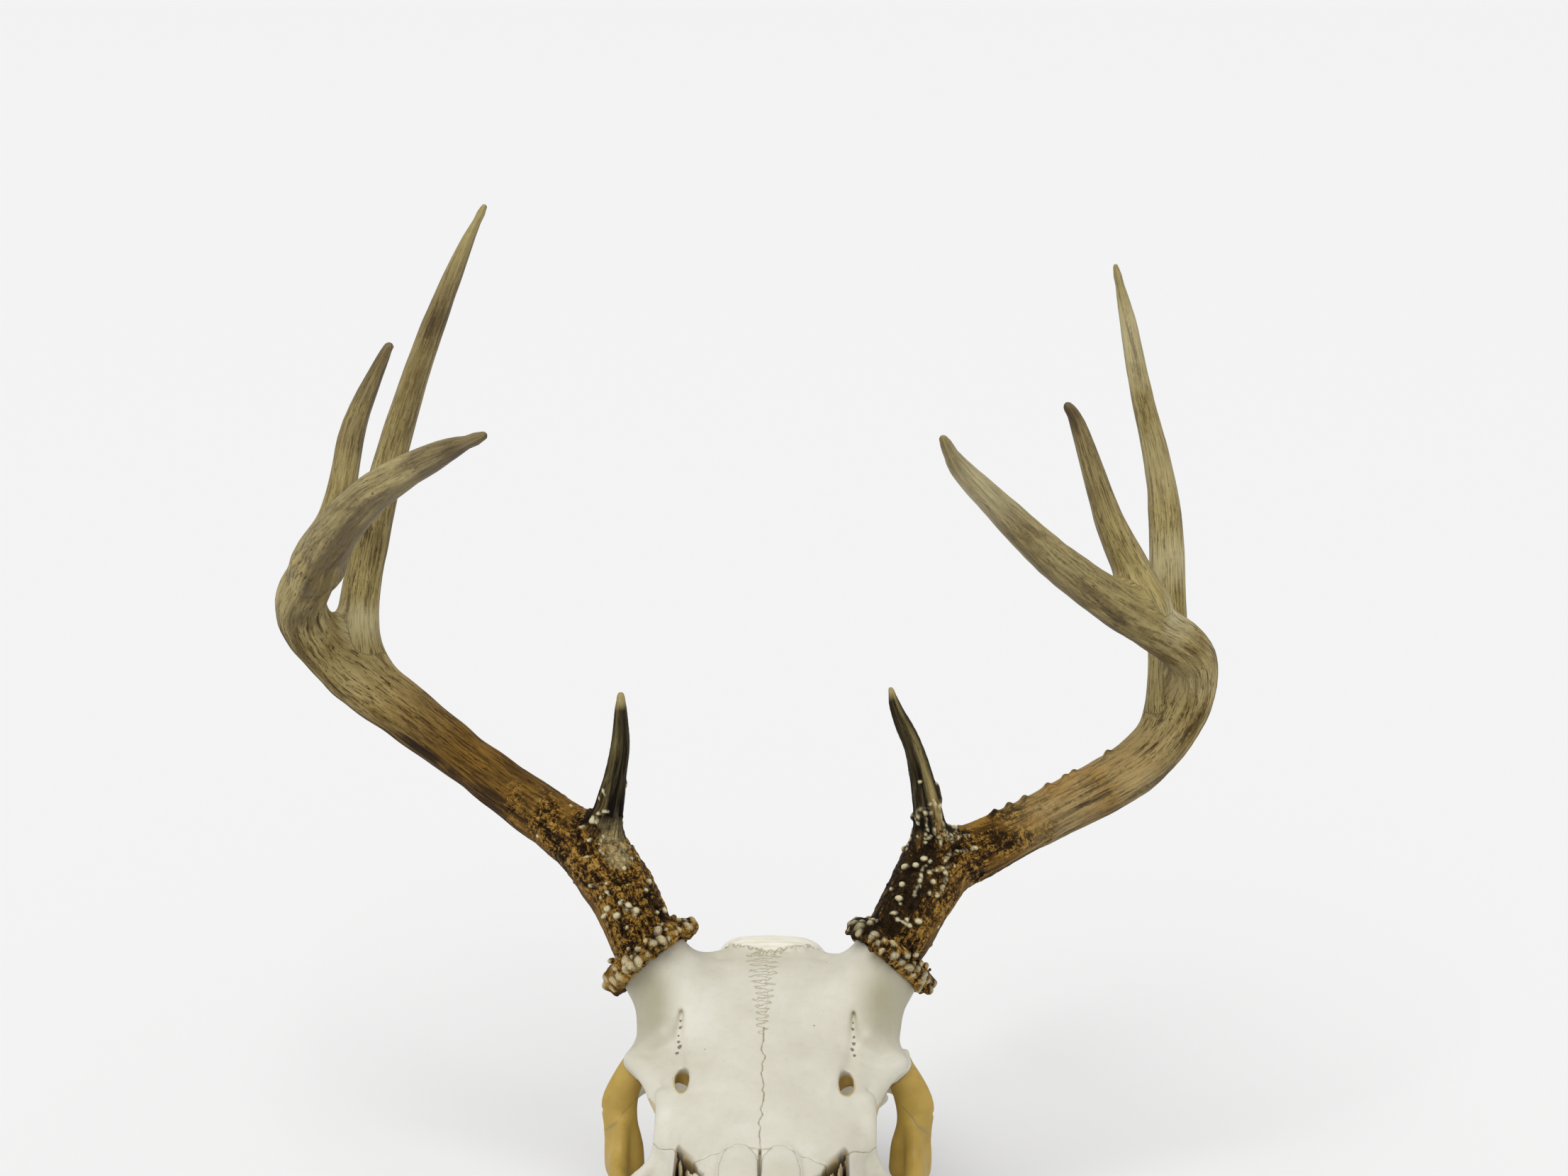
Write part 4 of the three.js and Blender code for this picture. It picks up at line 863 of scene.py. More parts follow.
def makeAntler(sideName):
    antler = antlers[sideName]
    side, seed = antler["side"], antler["seed"]
    chance = np.random.default_rng(seed)
    step = antlers["step"]
    lines = {}
    for name in branchNames:
        points = [[side * p[0], *p[1:]] for p in antler[name]]
        lines[name] = branchLine(points, antler["tips"][name])
    axis = np.array([side * cranium["burrAxis"][0], *cranium["burrAxis"][1:]])
    axis /= np.linalg.norm(axis)
    burr = np.array([side * antler["burr"][0], *antler["burr"][1:]])
    everything = np.concatenate([line["centres"] for line in lines.values()])
    low = np.minimum(everything.min(0), burr - 24) - 14
    high = np.maximum(everything.max(0), burr + 24) + 14
    block = Clay(low, high, step)
    for name in branchNames:
        line = lines[name]
        rows = np.c_[line["centres"], line["radii"]]
        rod = roundRod(rows[::2] if len(rows) % 2 else np.vstack([rows[::2], rows[-1]]))
        block.add(rod, 0 if name == "beam" else 9)

    across = np.cross(axis, [0, 1, 0])
    across /= np.linalg.norm(across)
    deep = np.cross(axis, across)
    ringPoints = []
    for turn in np.linspace(0, 2 * math.pi, 49):
        wide = 15.1 + 1.0 * math.sin(3 * turn + seed) + 0.8 * math.sin(11 * turn + seed)
        lift = -0.6 + 0.6 * math.sin(7 * turn + 2 * seed)
        thick = 3.4 + 0.7 * math.sin(13 * turn) * math.sin(5 * turn + seed)
        outTo = across * math.cos(turn) + deep * math.sin(turn)
        ringPoints.append([*(burr + wide * outTo + lift * axis), thick])
    block.add(roundRod(np.array(ringPoints)), 3.5)

    def onSurface(place, out):  # moves a place to the shaped surface
        for _ in range(3):
            sample = tuple(np.round((place - block.low) / step).astype(int))
            place = place - out * float(block.field[sample])
        return place

    beads = []  # place, sizes, the way it points, turn, and the height above which it is ivory
    rows = ((33, 18.4, -2.2, 1.1, 2.3, 0.95), (31, 17.6, 0.9, 0.9, 2.2, 0.75), (24, 15.4, 3.8, 0.7, 1.6, 0.6))
    for count, wide, lift, least, most, odds in rows:
        for k in range(count):
            if chance.random() > odds:
                continue
            turn = 2 * math.pi * (k + chance.uniform(-0.35, 0.35)) / count
            out = across * math.cos(turn) + deep * math.sin(turn)
            size = chance.uniform(least, most)
            place = burr + (wide + 1.0 * math.sin(3 * turn + seed) + chance.uniform(-0.9, 0.6)) * out
            place = place + axis * (lift + chance.uniform(-0.9, 0.9))
            way = out + chance.uniform(0, 0.8) * axis
            size = size * np.array([chance.uniform(0.75, 1.3), chance.uniform(0.7, 1.0),
                                    chance.uniform(1.1, 1.5)])
            beads.append((place, size, way, chance.uniform(0, 3), 0.45))
    beam = lines["beam"]
    front = np.array([-side * 0.35, -0.9, 0.3])  # pearls lie mostly on the front and inner face
    trunkEnd = beam["run"][int(antler["forks"]["brow"] * (len(beam["run"]) - 1))]
    for _ in range(130):
        along = chance.uniform(6, trunkEnd * 0.78)
        i = int(np.searchsorted(beam["run"], along))
        turn = chance.uniform(0, 2 * math.pi)
        out = beam["up"][i] * math.cos(turn) + beam["aside"][i] * math.sin(turn)
        facing = out @ front
        odds = (0.05 + 0.95 * np.clip(facing - 0.15, 0, 1)**0.9) * (1.15 - along / trunkEnd * 0.7)
        if chance.random() > odds:
            continue
        size = chance.uniform(0.6, 1.0) if chance.random() < 0.6 else chance.uniform(1.0, 1.7)
        place = onSurface(beam["centres"][i] + out * beam["radii"][i], out) + out * size * 0.15
        isLong = size < 0.9 and chance.random() < 0.3
        stretch = chance.uniform(1.8, 3.0) if isLong else chance.uniform(0.85, 1.3)
        beads.append((place, size * np.array([stretch, 0.8, 0.95]), out, chance.normal(0, 0.5), 0.2))
    tine = lines["brow_tine"]
    for _ in range(6):
        i = int(np.searchsorted(tine["run"], chance.uniform(2, 42)))
        turn = chance.uniform(0, 2 * math.pi)
        out = tine["up"][i] * math.cos(turn) + tine["aside"][i] * math.sin(turn)
        if out @ front > -0.3:
            place = tine["centres"][i] + out * tine["radii"][i]
            size = chance.uniform(0.4, 0.8) * np.array([chance.uniform(0.9, 2.6), 0.85, 0.9])
            beads.append((place, size, out, math.pi / 2 + chance.normal(0, 0.5), 0.2))
    beadFrames = []
    for place, sizes, way, turn, bare in beads:
        way = way / np.linalg.norm(way)
        first = np.cross(way, beam["ahead"][10])
        first /= np.linalg.norm(first)
        second = np.cross(way, first)
        turned = [first * math.cos(turn) + second * math.sin(turn),
                  second * math.cos(turn) - first * math.sin(turn)]
        beadFrames.append((place, sizes, np.array([*turned, way]), bare))
    wormStep = 0.7
    for branchName, low, high, count, swing in antler["worms"]:  # winding ridges like worm trails
        for _ in range(count):
            along, turn = chance.uniform(low, high), chance.normal(-0.15 * side, 0.5)
            heading, size = chance.uniform(-swing, swing), chance.uniform(0.62, 0.85)
            for _ in range(int(chance.integers(9, 22))):
                place, out, ahead, radius = onBranch(lines[branchName], along, turn)
                way = ahead * math.cos(heading) + np.cross(ahead, out) * math.sin(heading)
                place = onSurface(place, out) + 0.15 * out
                turned = np.array([way, np.cross(out, way), out])
                beadFrames.append((place, size * np.array([1.6, 0.95, 1.0]), turned, 0.0))
                along += wormStep * math.cos(heading)
                turn += wormStep * math.sin(heading) / radius
                heading += chance.normal(0, 0.32)
                size = np.clip(size * chance.uniform(0.9, 1.1), 0.55, 0.95)
    for place, sizes, turned, _ in beadFrames:
        block.add(bead(place, sizes, turned), 0.8)
    where, x, y, z = block.window(burr - 40, burr + 30)
    below = cutPlane(burr - 4 * axis, -axis)(x, y, z)
    block.field[where] = np.maximum(block.field[where], below)

    points, faces = surfaceOf(np.pad(block.field, 1, constant_values=farAway), block.low - step, step)
    points, faces, _ = largestPart(points, faces)
    del block

    # Where each point lies: branch, run along it and the way round it.
    found = {name: nearestOn(lines[name], points) for name in branchNames}
    gapsToBranch = np.stack([found[name][1] for name in branchNames])
    branch = gapsToBranch.argmin(axis=0)
    run = np.zeros(len(points))
    flow, outward = np.zeros((len(points), 3)), np.zeros((len(points), 3))
    for k, name in enumerate(branchNames):
        here = branch == k
        line, index = lines[name], found[name][0][here]
        off = points[here] - line["centres"][index]
        ahead = line["ahead"][index]
        lengthwise = np.einsum("ij,ij->i", off, ahead)
        off = off - ahead * lengthwise[:, None]
        off /= np.linalg.norm(off, axis=1)[:, None] + 1e-9
        run[here] = line["run"][index] + lengthwise
        a, b = np.einsum("ij,ij->i", off, line["up"][index]), np.einsum("ij,ij->i", off, line["aside"][index])
        flow[here] = np.c_[run[here] + 400 * k, 10 * a, 10 * b]
        outward[here] = off

    # How far out each point lies, from 0 at the head to 1 at a tip; a tine starts with the share of its fork.
    total, beamRun = beam["run"][-1], beam["run"][found["beam"][0]]
    beamShare = beamRun / total
    share = np.where(branch == 0, run / total, 0)
    forkShares = {"brow_tine": 0.16, "second_tine": 0.52, "third_tine": 0.7}
    for k, name in enumerate(branchNames[1:], 1):
        here = branch == k
        fork = forkShares[name]
        share[here] = fork + (1 - fork) * np.clip(run[here] / lines[name]["run"][-1], 0, 1)
    gutterSize = np.interp(share, [0, 0.12, 0.3, 0.5, 0.62, 1], [0.8, 0.85, 0.6, 0.38, 0.12, 0.03])
    tineGutters = np.interp(share, [0.16, 0.5, 0.8, 1], [0.9, 0.75, 0.4, 0.05])
    gutterSize = np.where(branch == 1, tineGutters, gutterSize)
    patches = noise(points / 7, seed + 15)
    tineFoot = np.clip(1.1 - run / 26 + 0.3 * patches, 0, 1)
    beamFoot = np.clip((0.235 - beamShare) / 0.12 + 0.35 * patches, 0, 1)
    trunk = np.where(branch == 1, tineFoot, beamFoot) * np.isin(branch, (0, 1)) * (share < 0.4)
    inner = outward @ (np.array([-0.5 * side, -0.85, 0.1]) / np.linalg.norm([0.5, 0.85, 0.1]))
    crust = trunk * np.clip(0.38 + 0.85 * inner + 0.4 * patches, 0.08, 1)
    warpFlow = flow.copy()
    warpFlow[:, 1:] += 1.6 * np.stack([noise(flow / 18, seed + 1), noise(flow / 18, seed + 2)], axis=1)
    first = noise(warpFlow / [26, 2.3, 2.3], seed + 3)
    second = noise(warpFlow / [15, 1.3, 1.3], seed + 4)
    coarse = noise(points / 12, seed + 6)
    gutters = np.clip(-0.1 - first, 0, 1) * 1.5 * np.clip(0.6 + 0.8 * coarse, 0, 1.3)
    gutters = gutters + 0.8 * np.clip(-0.15 - second, 0, 1)
    knobs = 0.5 * noise(warpFlow / [5.2, 2.9, 2.9], seed + 11) + 0.45 * noise(points / 1.8, seed + 12)
    knobs = knobs - 0.4 * np.exp(-(noise(points / 2.7, seed + 13) / 0.2)**2) + 0.12
    knobs = knobs + 0.9 * np.clip(noise(points / 2.2, seed + 14) - 0.35, 0, 1)
    relief = (1 - crust) * np.clip(1 - 0.8 * gutters + 0.3 * second, 0, 1)
    relief = relief + crust * np.clip(0.6 + 0.75 * knobs, 0, 1)
    lengthwise = (points - burr) @ axis
    calm = np.clip(lengthwise / 4 + 1, 0, 1)
    pearl, held = np.zeros(len(points)), np.zeros(len(points))
    nearTrunk = np.linalg.norm(points - (burr + 25 * axis), axis=1) < 85
    trunkPoints = points[nearTrunk]
    ivory, onBead = np.zeros(len(trunkPoints)), np.zeros(len(trunkPoints))
    for place, sizes, turned, bare in beadFrames:
        here = np.linalg.norm(trunkPoints - place, axis=1) < sizes.max() * 1.4
        local = (trunkPoints[here] - place) @ turned.T / sizes
        ratio = np.linalg.norm(local, axis=1)
        close = np.clip((1.3 - ratio) / 0.25, 0, 1)
        onBead[here] = np.maximum(onBead[here], close)
        ivory[here] = np.maximum(ivory[here], close * np.clip((local[:, 2] - bare) / 0.4, 0, 1))
    pearl[nearTrunk], held[nearTrunk] = ivory, onBead
    nearBurr = np.clip((24 - np.linalg.norm(points - burr, axis=1)) / 2, 0, 1)
    nearBurr = nearBurr * np.clip(1.6 - lengthwise / 5, 0, 1)
    pearl = pearl * (1 - 0.3 * nearBurr)
    relief = np.where(held > 0.5, np.maximum(relief, 0.55), relief)
    swell = 0.5 * first + 0.35 * second
    depth = gutterSize * (-0.8 * gutters + 0.5 * swell) * (1 - 0.8 * crust) + crust * 1.15 * knobs
    depth = depth * calm * (1 - 0.85 * held)
    lumps = 0.35 * noise(points / 8, seed + 8) * (0.4 + gutterSize) * (1 - held)
    for wartRun in antler["warts"]["runs"]:  # dark warts along the upper edge of the beam
        i = int(np.searchsorted(beam["run"], wartRun))
        place = beam["centres"][i] + np.array([-0.42, -0.12, 0.9]) * beam["radii"][i] * 1.02
        wart = np.exp(-(np.linalg.norm(points - place, axis=1) / antler["warts"]["radius"])**2)
        lumps += antler["warts"]["height"] * wart
        relief = relief * (1 - 0.8 * wart)
    moved = points + outward * (depth + lumps)[:, None]
    offAxis = np.linalg.norm(points - burr - lengthwise[:, None] * axis, axis=1)
    rim = np.clip((-1 - lengthwise) / 2, 0, 1) * np.clip((offAxis - 12.5) / 3, 0, 1)
    ragged = np.clip(0.9 + 1.7 * noise(points / 3.2, seed + 16), 0, 2.2)
    moved -= axis * (rim * ragged)[:, None]
    stripeWay = np.array([0.6 * side, -0.8, 0.15]) / np.linalg.norm([0.6, 0.8, 0.15])
    stripe = outward @ stripeWay + 0.06 * patches
    browSide = (branch == 1) * np.clip(1.1 - antler["stripe"] * np.clip(stripe - 0.86, 0, 1), 0, 1)
    tineEnd = tine["run"][-1]
    browSide = browSide * np.interp(run + 5 * patches, [2, 14, tineEnd - 6, tineEnd - 1], [0, 1, 1, 0])
    # Darker crust on the faces turned toward the middle, by a strength for each antler, and lighter just
    # under the burr.
    soot = antler["soot"] * crust * np.clip(0.55 - 0.9 * side * outward[:, 0] + 0.5 * coarse, 0, 1)
    soot -= 0.4 * np.clip((-1 - lengthwise) / 2, 0, 1)
    pale, umber = np.zeros(len(points)), np.zeros(len(points))
    for px, py, pz, reach, strength in antler["washes"]:
        near = closeness(points, [side * px, py, pz], [reach] * 3)**0.7 * (1 + 0.5 * coarse)
        pale = np.maximum(pale, near * max(strength, 0))
        umber = np.maximum(umber, near * max(-strength, 0))

    # The pieces part at the forks; a label counts through pieceNames, with the beam's own at the even places.
    def runAtFork(line, fork):
        return line["run"][int(round(antler["forks"][fork] * (len(line["run"]) - 1)))]

    pieceNames = ["base", "brow_tine", "lower_beam", "second_tine", "middle_beam", "third_tine", "upper_beam"]
    label = np.select([beamRun < runAtFork(beam, fork) for fork in ("brow", "second", "third")], [0, 2, 4], 6)
    for k, name in enumerate(branchNames[1:], 1):
        label[(branch == k) & (run > runAtFork(lines[name], name))] = 2 * k - 1
    faceLabel = label[faces].max(axis=1)
    # How far each point faces up and to the front; the finish paints highlight and shade from it.
    upper = np.clip(0.5 + 0.62 * outward @ np.array([0.0, -0.45, 0.9]), 0, 1)
    marks = {"flow": flow, "share": share, "relief": relief, "pearl": pearl, "crust": crust,
             "browSide": browSide, "soot": soot, "pale": pale, "umber": umber, "upper": upper}
    made = []
    for k, pieceName in enumerate(pieceNames):
        _, own, usedOfLargest = largestPart(points, faces[faceLabel == k])
        used, ownPoints, ownFaces, caps, extra = cappedPiece(moved, usedOfLargest[own])
        ownMarks = {}
        for mark, values in marks.items():
            filler = np.repeat(values[used][:1], len(extra), axis=0)
            ownMarks[mark] = np.concatenate([values[used], filler])
        if extra:
            ownPoints = np.vstack([ownPoints, np.array(extra)])
        fullName = f"antler_{sideName}_{pieceName}"
        made.append(makePiece(fullName, ownPoints, ownFaces, ownMarks, 70, caps))
        print("  ", pieceName, len(ownFaces) * 2 + len(caps), "triangles")
    return made


def bead(place, sizes, turned):
    reach = sizes.max() + 0.5

    def distance(x, y, z):
        px, py, pz = x - place[0], y - place[1], z - place[2]
        a, b, c = (px * way[0] + py * way[1] + pz * way[2] for way in turned)
        return ovalDistance(a, b, c, *sizes)

    return place - reach, place + reach, distance


def roundRod(rows):
    centres, radii = rows[:, :3], rows[:, 3]
    pad = radii.max() + 1

    def distance(x, y, z):
        out = np.full((x.size, y.size, z.size), farAway, np.float32)
        for a, b, ra, rb in zip(centres[:-1], centres[1:], radii[:-1], radii[1:]):
            run = b - a
            reach = max(ra, rb) + 12
            low, high = np.minimum(a, b) - reach, np.maximum(a, b) + reach
            where = spansNear((x, y, z), low, high)
            px, py, pz = x[where[0]] - a[0], y[:, where[1]] - a[1], z[:, :, where[2]] - a[2]
            t = np.clip((px * run[0] + py * run[1] + pz * run[2]) / (run @ run), 0, 1)
            away = np.sqrt((px - t * run[0])**2 + (py - t * run[1])**2 + (pz - t * run[2])**2)
            out[where] = np.minimum(out[where], away - (ra + (rb - ra) * t))
        return out

    return centres.min(0) - pad, centres.max(0) + pad, distance


antlerPieces = makeAntler("left") + makeAntler("right")
report("antlers made")

# Materials, which read the marks that the pieces carry.


def shade(hexColour):
    parts = [int(hexColour[i:i + 2], 16) / 255 for i in (1, 3, 5)]
    return [c / 12.92 if c <= 0.04045 else ((c + 0.055) / 1.055)**2.4 for c in parts] + [1.0]


def addNode(material, kind, *inputs, stops=(), give=None, **settings):
    # Inputs fill the live sockets in order, with a socket, a number or a colour.
    # A setting with a capital is an input by its name, and any other is a property of the node.
    node = material.node_tree.nodes.new("ShaderNode" + kind)
    entries = []
    for key, value in settings.items():
        if key[0].isupper():
            entries.append((node.inputs[key.replace("_", " ")], value))
        else:
            setattr(node, key, value)
    entries += zip([entry for entry in node.inputs if entry.enabled], inputs)
    for entry, value in entries:
        if isinstance(value, bpy.types.NodeSocket):
            material.node_tree.links.new(value, entry)
        else:
            entry.default_value = shade(value) if isinstance(value, str) else value
    for _ in stops[2:]:
        node.color_ramp.elements.new(0.5)
    for element, (place, value) in zip(node.color_ramp.elements if stops else (), stops):
        element.position = place
        element.color = shade(value) if isinstance(value, str) else (value, value, value, 1)
    return node.outputs[give] if give else next(output for output in node.outputs if output.enabled)


def startMaterial(name, roughness, ior):
    material = bpy.data.materials.new(name)
    material.use_nodes = True
    shader = material.node_tree.nodes["Principled BSDF"]
    shader.inputs["Roughness"].default_value = roughness
    shader.inputs["IOR"].default_value = ior
    return material, shader


boneLook = {
    "light": "#E0DCCD", "mid": "#D1CCB9", "stain": "#8E875E", "honey": "#BFA04C", "honeyDark": "#A88A3C",
    "suture": "#94855A", "pit": "#3A220E", "speck": "#6E654B", "enamel": "#E4DDC4", "enamelStain": "#6B5330",
    "pinholes": [[31.5, 201.2, 0.55], [31.4, 198.6, 0.7], [31.9, 195.6, 0.6], [31.8, 193.2, 0.75],
                 [31.4, 190.8, 0.95], [32.1, 188.4, 0.8]],
    "stitch": "#A2946A", "crown": "#FFFBEC", "crownLine": "#CFC48F", "pore": "#B8B092",
    "swellMm": 26, "fibreMm": 0.9, "poreMm": 2.6, "stitchMm": 3.1, "patchMm": 14, "speckMm": 7, "rareMm": 11,
    "layerMm": 1.9, "wobbleMm": 3.4, "wobbleAlongMm": 3.0, "unevenMm": 4.2, "streakMm": 2.2,
    "bumpDepth": 0.0003,
}


def makeBone():  # cleaned, bleached bone: matte cream with a faint fat sheen, fine fibres and pin-hole pores
    material, shader = startMaterial("bleached bone", 0.52, 1.5)
    place = addNode(material, "TexCoord", give="Object")
    swell = addNode(material, "TexNoise", place, Scale=1000 / boneLook["swellMm"], Detail=4,
                    Roughness=0.55)
    colour = addNode(material, "Mix", addNode(material, "ValToRGB", swell, stops=[(0.35, 0), (0.65, 1)]),
                     boneLook["mid"], boneLook["light"], data_type="RGBA")
    fine = addNode(material, "TexNoise", place, Scale=1000 / boneLook["poreMm"], Detail=5, Roughness=0.7)
    colour = addNode(material, "Mix", addNode(material, "ValToRGB", fine, stops=[(0.3, 0.16), (0.5, 0)]),
                     colour, boneLook["pore"], data_type="RGBA")
    # Stains, with painted shade on the outer flanks of the pedicles.
    colour = addNode(material, "Mix",
                     addNode(material, "Math",
                             addNode(material, "Attribute", attribute_name="stain", give="Fac"), 0.75,
                             operation="MULTIPLY"), colour, boneLook["stain"], data_type="RGBA")
    patch = addNode(material, "TexNoise", place, Scale=1000 / boneLook["patchMm"], Detail=5, Roughness=0.6)
    honeyTone = addNode(material, "Mix", addNode(material, "ValToRGB", patch, stops=[(0.35, 0), (0.7, 1)]),
                        boneLook["honey"], boneLook["honeyDark"], data_type="RGBA")
    colour = addNode(material, "Mix", addNode(material, "Attribute", attribute_name="honey", give="Fac"),
                     colour, honeyTone, data_type="RGBA")
    specks = addNode(material, "TexVoronoi", place, feature="F1", Scale=1000 / boneLook["speckMm"])
    rare = addNode(material, "ValToRGB",
                   addNode(material, "TexNoise", place, Scale=1000 / boneLook["rareMm"], Detail=2,
                           Roughness=0.55), stops=[(0.55, 0), (0.62, 1)])
    dots = addNode(material, "Math", addNode(material, "ValToRGB", specks, stops=[(0.03, 1), (0.06, 0)]),
                   rare, operation="MULTIPLY")
    colour = addNode(material, "Mix", addNode(material, "Math", dots, 0.7, operation="MULTIPLY"), colour,
                     boneLook["speck"], data_type="RGBA")
    # The crown is paler: painted light that lifts its shading, with faint laminar lines.
    layered = addNode(material, "Mapping", place, Scale=(0.12, 1.0, 1.0))
    crown = addNode(material, "Attribute", attribute_name="crown", give="Fac")
    crownTone = addNode(material, "Mix",
                        addNode(material, "ValToRGB",
                                addNode(material, "TexNoise", layered, Scale=1000 / boneLook["layerMm"],
                                        Detail=3, Roughness=0.6, Distortion=0.6),
                                stops=[(0.46, 0), (0.62, 0.4)]), boneLook["crown"], boneLook["crownLine"],
                        data_type="RGBA")
    colour = addNode(material, "Mix", crown, colour, crownTone, data_type="RGBA")
    # The suture over the forehead is one thin line that folds from side to side like clasped fingers.
    chart = addNode(material, "SeparateXYZ",
                    addNode(material, "Attribute", attribute_name="chart", give="Vector")).node.outputs
    stitch = addNode(material, "Attribute", attribute_name="stitch", give="Fac")
    wobble = addNode(material, "Math",
                     addNode(material, "TexNoise", place, Scale=1000 / boneLook["wobbleMm"], Detail=2,
                             Roughness=0.6), 0.5, operation="SUBTRACT")
    wobbleAlong = addNode(material, "Math",
                          addNode(material, "TexNoise", place, Scale=1000 / boneLook["wobbleAlongMm"],
                                  Detail=2, Roughness=0.6), 0.5, operation="SUBTRACT")
    phase = addNode(material, "Math", wobbleAlong, 6.5,
                    addNode(material, "Math", chart[1], 2 * math.pi / boneLook["stitchMm"],
                            operation="MULTIPLY"), operation="MULTIPLY_ADD")
    aside = addNode(material, "Math", wobble, 3.6, chart[0], operation="MULTIPLY_ADD")
    uneven = addNode(material, "Math",
                     addNode(material, "TexNoise", place, Scale=1000 / boneLook["unevenMm"], Detail=1,
                             Roughness=0.55), 1.4, 0.25, operation="MULTIPLY_ADD")
    fold = addNode(material, "Math",
                   addNode(material, "Math", addNode(material, "Math", phase, operation="SINE"), uneven,
                           operation="MULTIPLY"), stitch, operation="MULTIPLY")
    steepness = addNode(material, "Math",
                        addNode(material, "Math", addNode(material, "Math", phase, operation="COSINE"),
                                stitch, operation="MULTIPLY"), 2 * math.pi / boneLook["stitchMm"],
                        operation="MULTIPLY")
    steepness = addNode(material, "Math",
                        addNode(material, "Math", steepness, steepness, 1.0, operation="MULTIPLY_ADD"),
                        operation="SQRT")
    gap = addNode(material, "Math",
                  addNode(material, "Math", addNode(material, "Math", aside, fold, operation="SUBTRACT"),
                          operation="ABSOLUTE"), steepness, operation="DIVIDE")
    stitches = addNode(material, "Math", addNode(material, "ValToRGB", gap, stops=[(0.1, 1), (0.3, 0)]),
                       addNode(material, "ValToRGB", stitch, stops=[(0.5, 0), (0.9, 1)]),
                       operation="MULTIPLY")
    inStrip = addNode(material, "Math", addNode(material, "Math", stitch, 1.6, operation="ADD"),
                      addNode(material, "Math", aside, operation="ABSOLUTE"), operation="SUBTRACT")
    stitches = addNode(material, "Math", stitches,
                       addNode(material, "ValToRGB", inStrip, stops=[(0.0, 0), (0.4, 1)]),
                       operation="MULTIPLY")
    coronal = addNode(material, "SeparateXYZ",
                      addNode(material, "Attribute", attribute_name="coronal", give="Vector")).node.outputs
    turnPhase = addNode(material, "Math", wobble, 7.0,
                        addNode(material, "Math", coronal[0], 2 * math.pi / boneLook["stitchMm"],
                                operation="MULTIPLY"), operation="MULTIPLY_ADD")
    zigzag = addNode(material, "Math", addNode(material, "Math", turnPhase, operation="SINE"), 1.3,
                     operation="MULTIPLY")
    offEdge = addNode(material, "Math",
                      addNode(material, "Math", wobbleAlong, 2.2, coronal[1], operation="MULTIPLY_ADD"),
                      zigzag, operation="SUBTRACT")
    slope = addNode(material, "Math", addNode(material, "Math", turnPhase, operation="COSINE"), 2.6,
                    operation="MULTIPLY")
    slope = addNode(material, "Math",
                    addNode(material, "Math", slope, slope, 1.0, operation="MULTIPLY_ADD"),
                    operation="SQRT")
    edgeGap = addNode(material, "Math", addNode(material, "Math", offEdge, operation="ABSOLUTE"), slope,
                      operation="DIVIDE")
    edgeLine = addNode(material, "Math",
                       addNode(material, "ValToRGB", edgeGap, stops=[(0.14, 1), (0.42, 0)]),
                       addNode(material, "Attribute", attribute_name="edge", give="Fac"),
                       operation="MULTIPLY")
    stitches = addNode(material, "Math", stitches, edgeLine, operation="MAXIMUM")
    colour = addNode(material, "Mix", addNode(material, "Math", stitches, 0.62, operation="MULTIPLY"),
                     colour, boneLook["stitch"], data_type="RGBA")
    seam = addNode(material, "ValToRGB", addNode(material, "Attribute", attribute_name="seam", give="Fac"),
                   stops=[(0.45, 0), (0.95, 1)])
    colour = addNode(material, "Mix", addNode(material, "Math", seam, 0.75, operation="MULTIPLY"), colour,
                     boneLook["suture"], data_type="RGBA")
    # Pinholes in the groove behind the foramen, the same on both sides, painted dark as the shade inside the
    # holes.
    mirrored = addNode(material, "CombineXYZ",
                       addNode(material, "Math",
                               addNode(material, "Math", chart[0], 1.1, operation="SUBTRACT"),
                               operation="ABSOLUTE"), chart[1])
    nearest = 9.0
    for across, back, size in boneLook["pinholes"]:
        gapTo = addNode(material, "VectorMath", mirrored, (across, back, 0), operation="DISTANCE")
        nearest = addNode(material, "Math", addNode(material, "Math", gapTo, size, operation="DIVIDE"),
                          nearest, operation="MINIMUM")
    nearest = addNode(material, "Math", wobble, 1.3, nearest, operation="MULTIPLY_ADD")
    holes = addNode(material, "Math", addNode(material, "ValToRGB", nearest, stops=[(0.6, 0.8), (1.0, 0)]),
                    addNode(material, "Attribute", attribute_name="forehead", give="Fac"),
                    operation="MULTIPLY")
    # Painted shade in the holes and hollows, and in the pinholes.
    pit = addNode(material, "Math", addNode(material, "Attribute", attribute_name="pit", give="Fac"),
                  holes, operation="MAXIMUM")
    colour = addNode(material, "Mix", addNode(material, "Math", pit, 0.93, operation="MULTIPLY"), colour,
                     boneLook["pit"], data_type="RGBA")
    enamel = addNode(material, "Attribute", attribute_name="enamel", give="Fac")
    stretch = addNode(material, "Mapping", place, Scale=(1.0, 1.0, 0.18))
    streaks = addNode(material, "ValToRGB",
                      addNode(material, "TexNoise", stretch, Scale=1000 / boneLook["streakMm"], Detail=3,
                              Roughness=0.55), stops=[(0.52, 0), (0.72, 0.7)])
    tooth = addNode(material, "Mix", streaks, boneLook["enamel"], boneLook["enamelStain"],
                    data_type="RGBA")
    colour = addNode(material, "Mix", enamel, colour, tooth, data_type="RGBA")
    material.node_tree.links.new(colour, shader.inputs["Base Color"])
    gloss = addNode(material, "MapRange", enamel, To_Min=0.54, To_Max=0.22)
    material.node_tree.links.new(gloss, shader.inputs["Roughness"])
    height = addNode(material, "Math", addNode(material, "Math", fine, 0.5, operation="MULTIPLY"),
                     addNode(material, "Math",
                             addNode(material, "TexNoise", place, Scale=1000 / boneLook["fibreMm"],
                                     Detail=2, Roughness=0.55), 0.25, operation="MULTIPLY"),
                     operation="ADD")
    height = addNode(material, "Math", height,
                     addNode(material, "Math", stitches, 1.4, operation="MULTIPLY"), operation="SUBTRACT")
